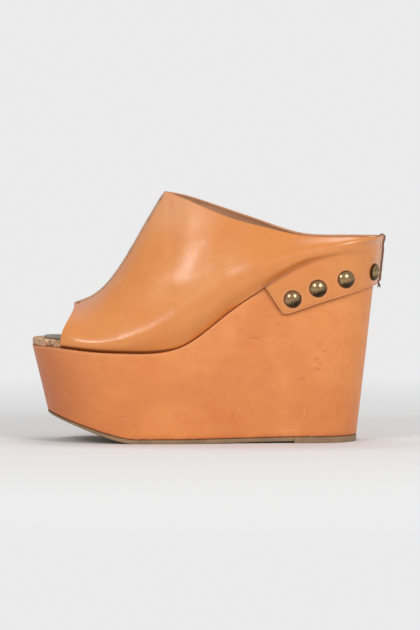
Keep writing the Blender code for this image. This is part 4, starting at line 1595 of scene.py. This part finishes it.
def dome_profile():
    """Radius and height from the top of the head to the tip of the nail."""
    dome_radius = (STUD_RADIUS**2 + STUD_DOME_HEIGHT**2) / (2 * STUD_DOME_HEIGHT)
    sweep = math.asin(STUD_RADIUS / dome_radius)
    base = GAP + STUD_RIM_HEIGHT
    points = []
    for step in range(1, DOME_STEPS + 1):
        angle = sweep * step / DOME_STEPS
        height = base + STUD_DOME_HEIGHT - dome_radius * (1 - math.cos(angle))
        points.append((dome_radius * math.sin(angle), height))
    rim = STUD_RADIUS
    points += [(rim, base - 0.0002), (rim - 0.0001, GAP + 0.0001), (rim - 0.0005, GAP - 0.0001)]
    points += [(NAIL_RADIUS, GAP), (NAIL_RADIUS, -NAIL_LENGTH + 2 * NAIL_RADIUS)]
    return points, base + STUD_DOME_HEIGHT


def hammer_dent(point, seed):
    """Depth of the hammer marks on a head, in metres."""
    spot = Vector((point.x, point.y, 0.0)) / HAMMER_SIZE + Vector((seed * 7.3, seed * 3.1, 0.0))
    near = noise.voronoi(spot)[0][0]
    strength = 0.12 + 0.88 * smoothstep(-point.y, -0.0010, 0.0020)
    return HAMMER_DEPTH * strength * max(0.0, 1 - near * 1.5)


def make_stud(name, matrix, seed, brass):
    build = bmesh.new()
    dent_patina_and_shade = build.verts.layers.float.new("dent_patina_and_shade")
    profile, top = dome_profile()
    tip = build.verts.new((0, 0, top))
    rings = []
    for spot, (radius, height) in enumerate(profile):
        ring = []
        for side in range(STUD_SIDES):
            angle = math.tau * side / STUD_SIDES
            point = Vector((radius * math.cos(angle), radius * math.sin(angle), height))
            on_dome = spot < DOME_STEPS - 1
            depth = hammer_dent(point, seed) if on_dome else 0.0
            vert = build.verts.new(point - Vector((0, 0, depth)))
            # Head darker on its lower half, painted shade; darker at its steep edge, painted dark reflection;
            # darker in hammer hollows and under the head, patina
            grime_and_shade = 0.04 + 0.66 * smoothstep(-point.y, -0.0016, 0.0036)
            edge = 0.85 * smoothstep(radius, 0.86 * STUD_RADIUS, STUD_RADIUS)
            vert[dent_patina_and_shade] = max(depth / HAMMER_DEPTH, grime_and_shade, edge) if on_dome else 0.95
            ring.append(vert)
        rings.append(ring)
    end = build.verts.new((0, 0, -NAIL_LENGTH))
    for side in range(STUD_SIDES):
        there = (side + 1) % STUD_SIDES
        build.faces.new((tip, rings[0][side], rings[0][there]))
        build.faces.new((end, rings[-1][there], rings[-1][side]))
        for first, second in zip(rings, rings[1:]):
            build.faces.new((first[side], second[side], second[there], first[there]))
    spun = matrix @ Matrix.Rotation(math.radians(seed * 47 % 25), 4, "Z")
    build.transform(spun)
    add_piece(name + "_head", build, [brass], [name])


# Setting

def make_camera():
    """Camera of the photograph: three metres away, a little above the shoe and level with its length."""
    data = bpy.data.cameras.new("photo_camera")
    data.lens = CAMERA_LENS
    data.sensor_width = CAMERA_SENSOR
    camera = bpy.data.objects.new("photo_camera", data)
    bpy.context.scene.collection.objects.link(camera)
    aim = Vector(CAMERA_AIM)
    camera.location = (aim.x, -math.sqrt(CAMERA_DISTANCE**2 - CAMERA_ABOVE**2), aim.z + CAMERA_ABOVE)
    camera.rotation_euler = (aim - camera.location).to_track_quat("-Z", "Y").to_euler()
    bpy.context.scene.camera = camera


def stage_piece(name, build, material):
    piece = bpy.data.objects.new(name, mesh_from(name, build))
    piece.data.materials.append(material)
    bpy.context.scene.collection.objects.link(piece)
    return piece


def make_stage():
    """Pale floor that fades into an even pale surround."""
    look = Look("floor_look")
    look.set(base_color=(FLOOR_TINT, FLOOR_TINT, FLOOR_TINT, 1.0), roughness=0.9, specular_ior_level=0.1)
    blend = look.tree.nodes.new("ShaderNodeMixShader")
    look.put(blend, 0, look.ramp(look.length(look.place), FLOOR_FADE_START, FLOOR_FADE_END))
    look.put(blend, 1, look.shader.outputs[0])
    look.put(blend, 2, look.emission(BACKDROP))
    look.put(look.tree.nodes["Material Output"], "Surface", blend.outputs[0])
    build = bmesh.new()
    bmesh.ops.create_circle(build, cap_ends=True, segments=96, radius=FLOOR_RADIUS)
    stage_piece("studio_floor", build, look.material)

    around = Look("surround_look")
    around.put(around.tree.nodes["Material Output"], "Surface", around.emission(BACKDROP))
    build = bmesh.new()
    bmesh.ops.create_icosphere(build, subdivisions=4, radius=SURROUND_RADIUS)
    surround = stage_piece("studio_surround", build, around.material)
    surround.visible_diffuse = False
    surround.visible_glossy = False
    surround.visible_transmission = False
    surround.visible_volume_scatter = False
    surround.visible_shadow = False


def add_light(name, place, size, power):
    data = bpy.data.lights.new(name, "AREA")
    data.shape = "RECTANGLE"
    data.size, data.size_y = size
    data.energy = power
    light = bpy.data.objects.new(name, data)
    light.location = place
    light.rotation_euler = (Vector(LIGHT_TARGET) - Vector(place)).to_track_quat("-Z", "Y").to_euler()
    bpy.context.scene.collection.objects.link(light)


def make_light():
    world = bpy.data.worlds.new("studio_world")
    bpy.context.scene.world = world
    world.use_nodes = True
    background = world.node_tree.nodes["Background"]
    background.inputs["Color"].default_value = (1.0, 1.0, 1.0, 1.0)
    background.inputs["Strength"].default_value = WORLD_STRENGTH
    for light in LIGHTS:
        add_light(*light)
    view = bpy.context.scene.view_settings
    view.view_transform = "Standard"
    view.look = "None"


def main():
    upper_leather = make_upper_leather()
    cut_edge = make_cut_edge("cut_edge_look", EDGE_GREY)
    tan_edge = make_cut_edge("top_edge_look", EDGE_TAN, grime_and_shade=0.30)
    brown_edge = make_cut_edge("burnished_edge_look", EDGE_BROWN)
    dark_edge = make_cut_edge("seam_edge_look", SEAM_DARK)
    rubber = make_rubber()
    brass = make_brass()
    make_wedge_cover(make_wedge_leather())
    make_footbed(make_cork())
    make_sock(make_sock_leather())
    make_outsole(rubber)
    make_heel_pad(rubber)
    make_upper(upper_leather, make_lining(), tan_edge, brown_edge)
    make_front_seam(cut_edge)
    make_back_seam(dark_edge, upper_leather, make_thread("fold_highlight_look", FRAYED_PALE_AND_HIGHLIGHT))
    make_tacks(make_thread("tack_thread_look", TAN_PALE_AND_HIGHLIGHT), make_thread("dark_thread_look", RUBBER_DARK))
    for seed, (name, matrix) in enumerate(all_stud_matrices().items()):
        make_stud(name, matrix, seed + 1, brass)
    make_camera()
    make_stage()
    make_light()


main()
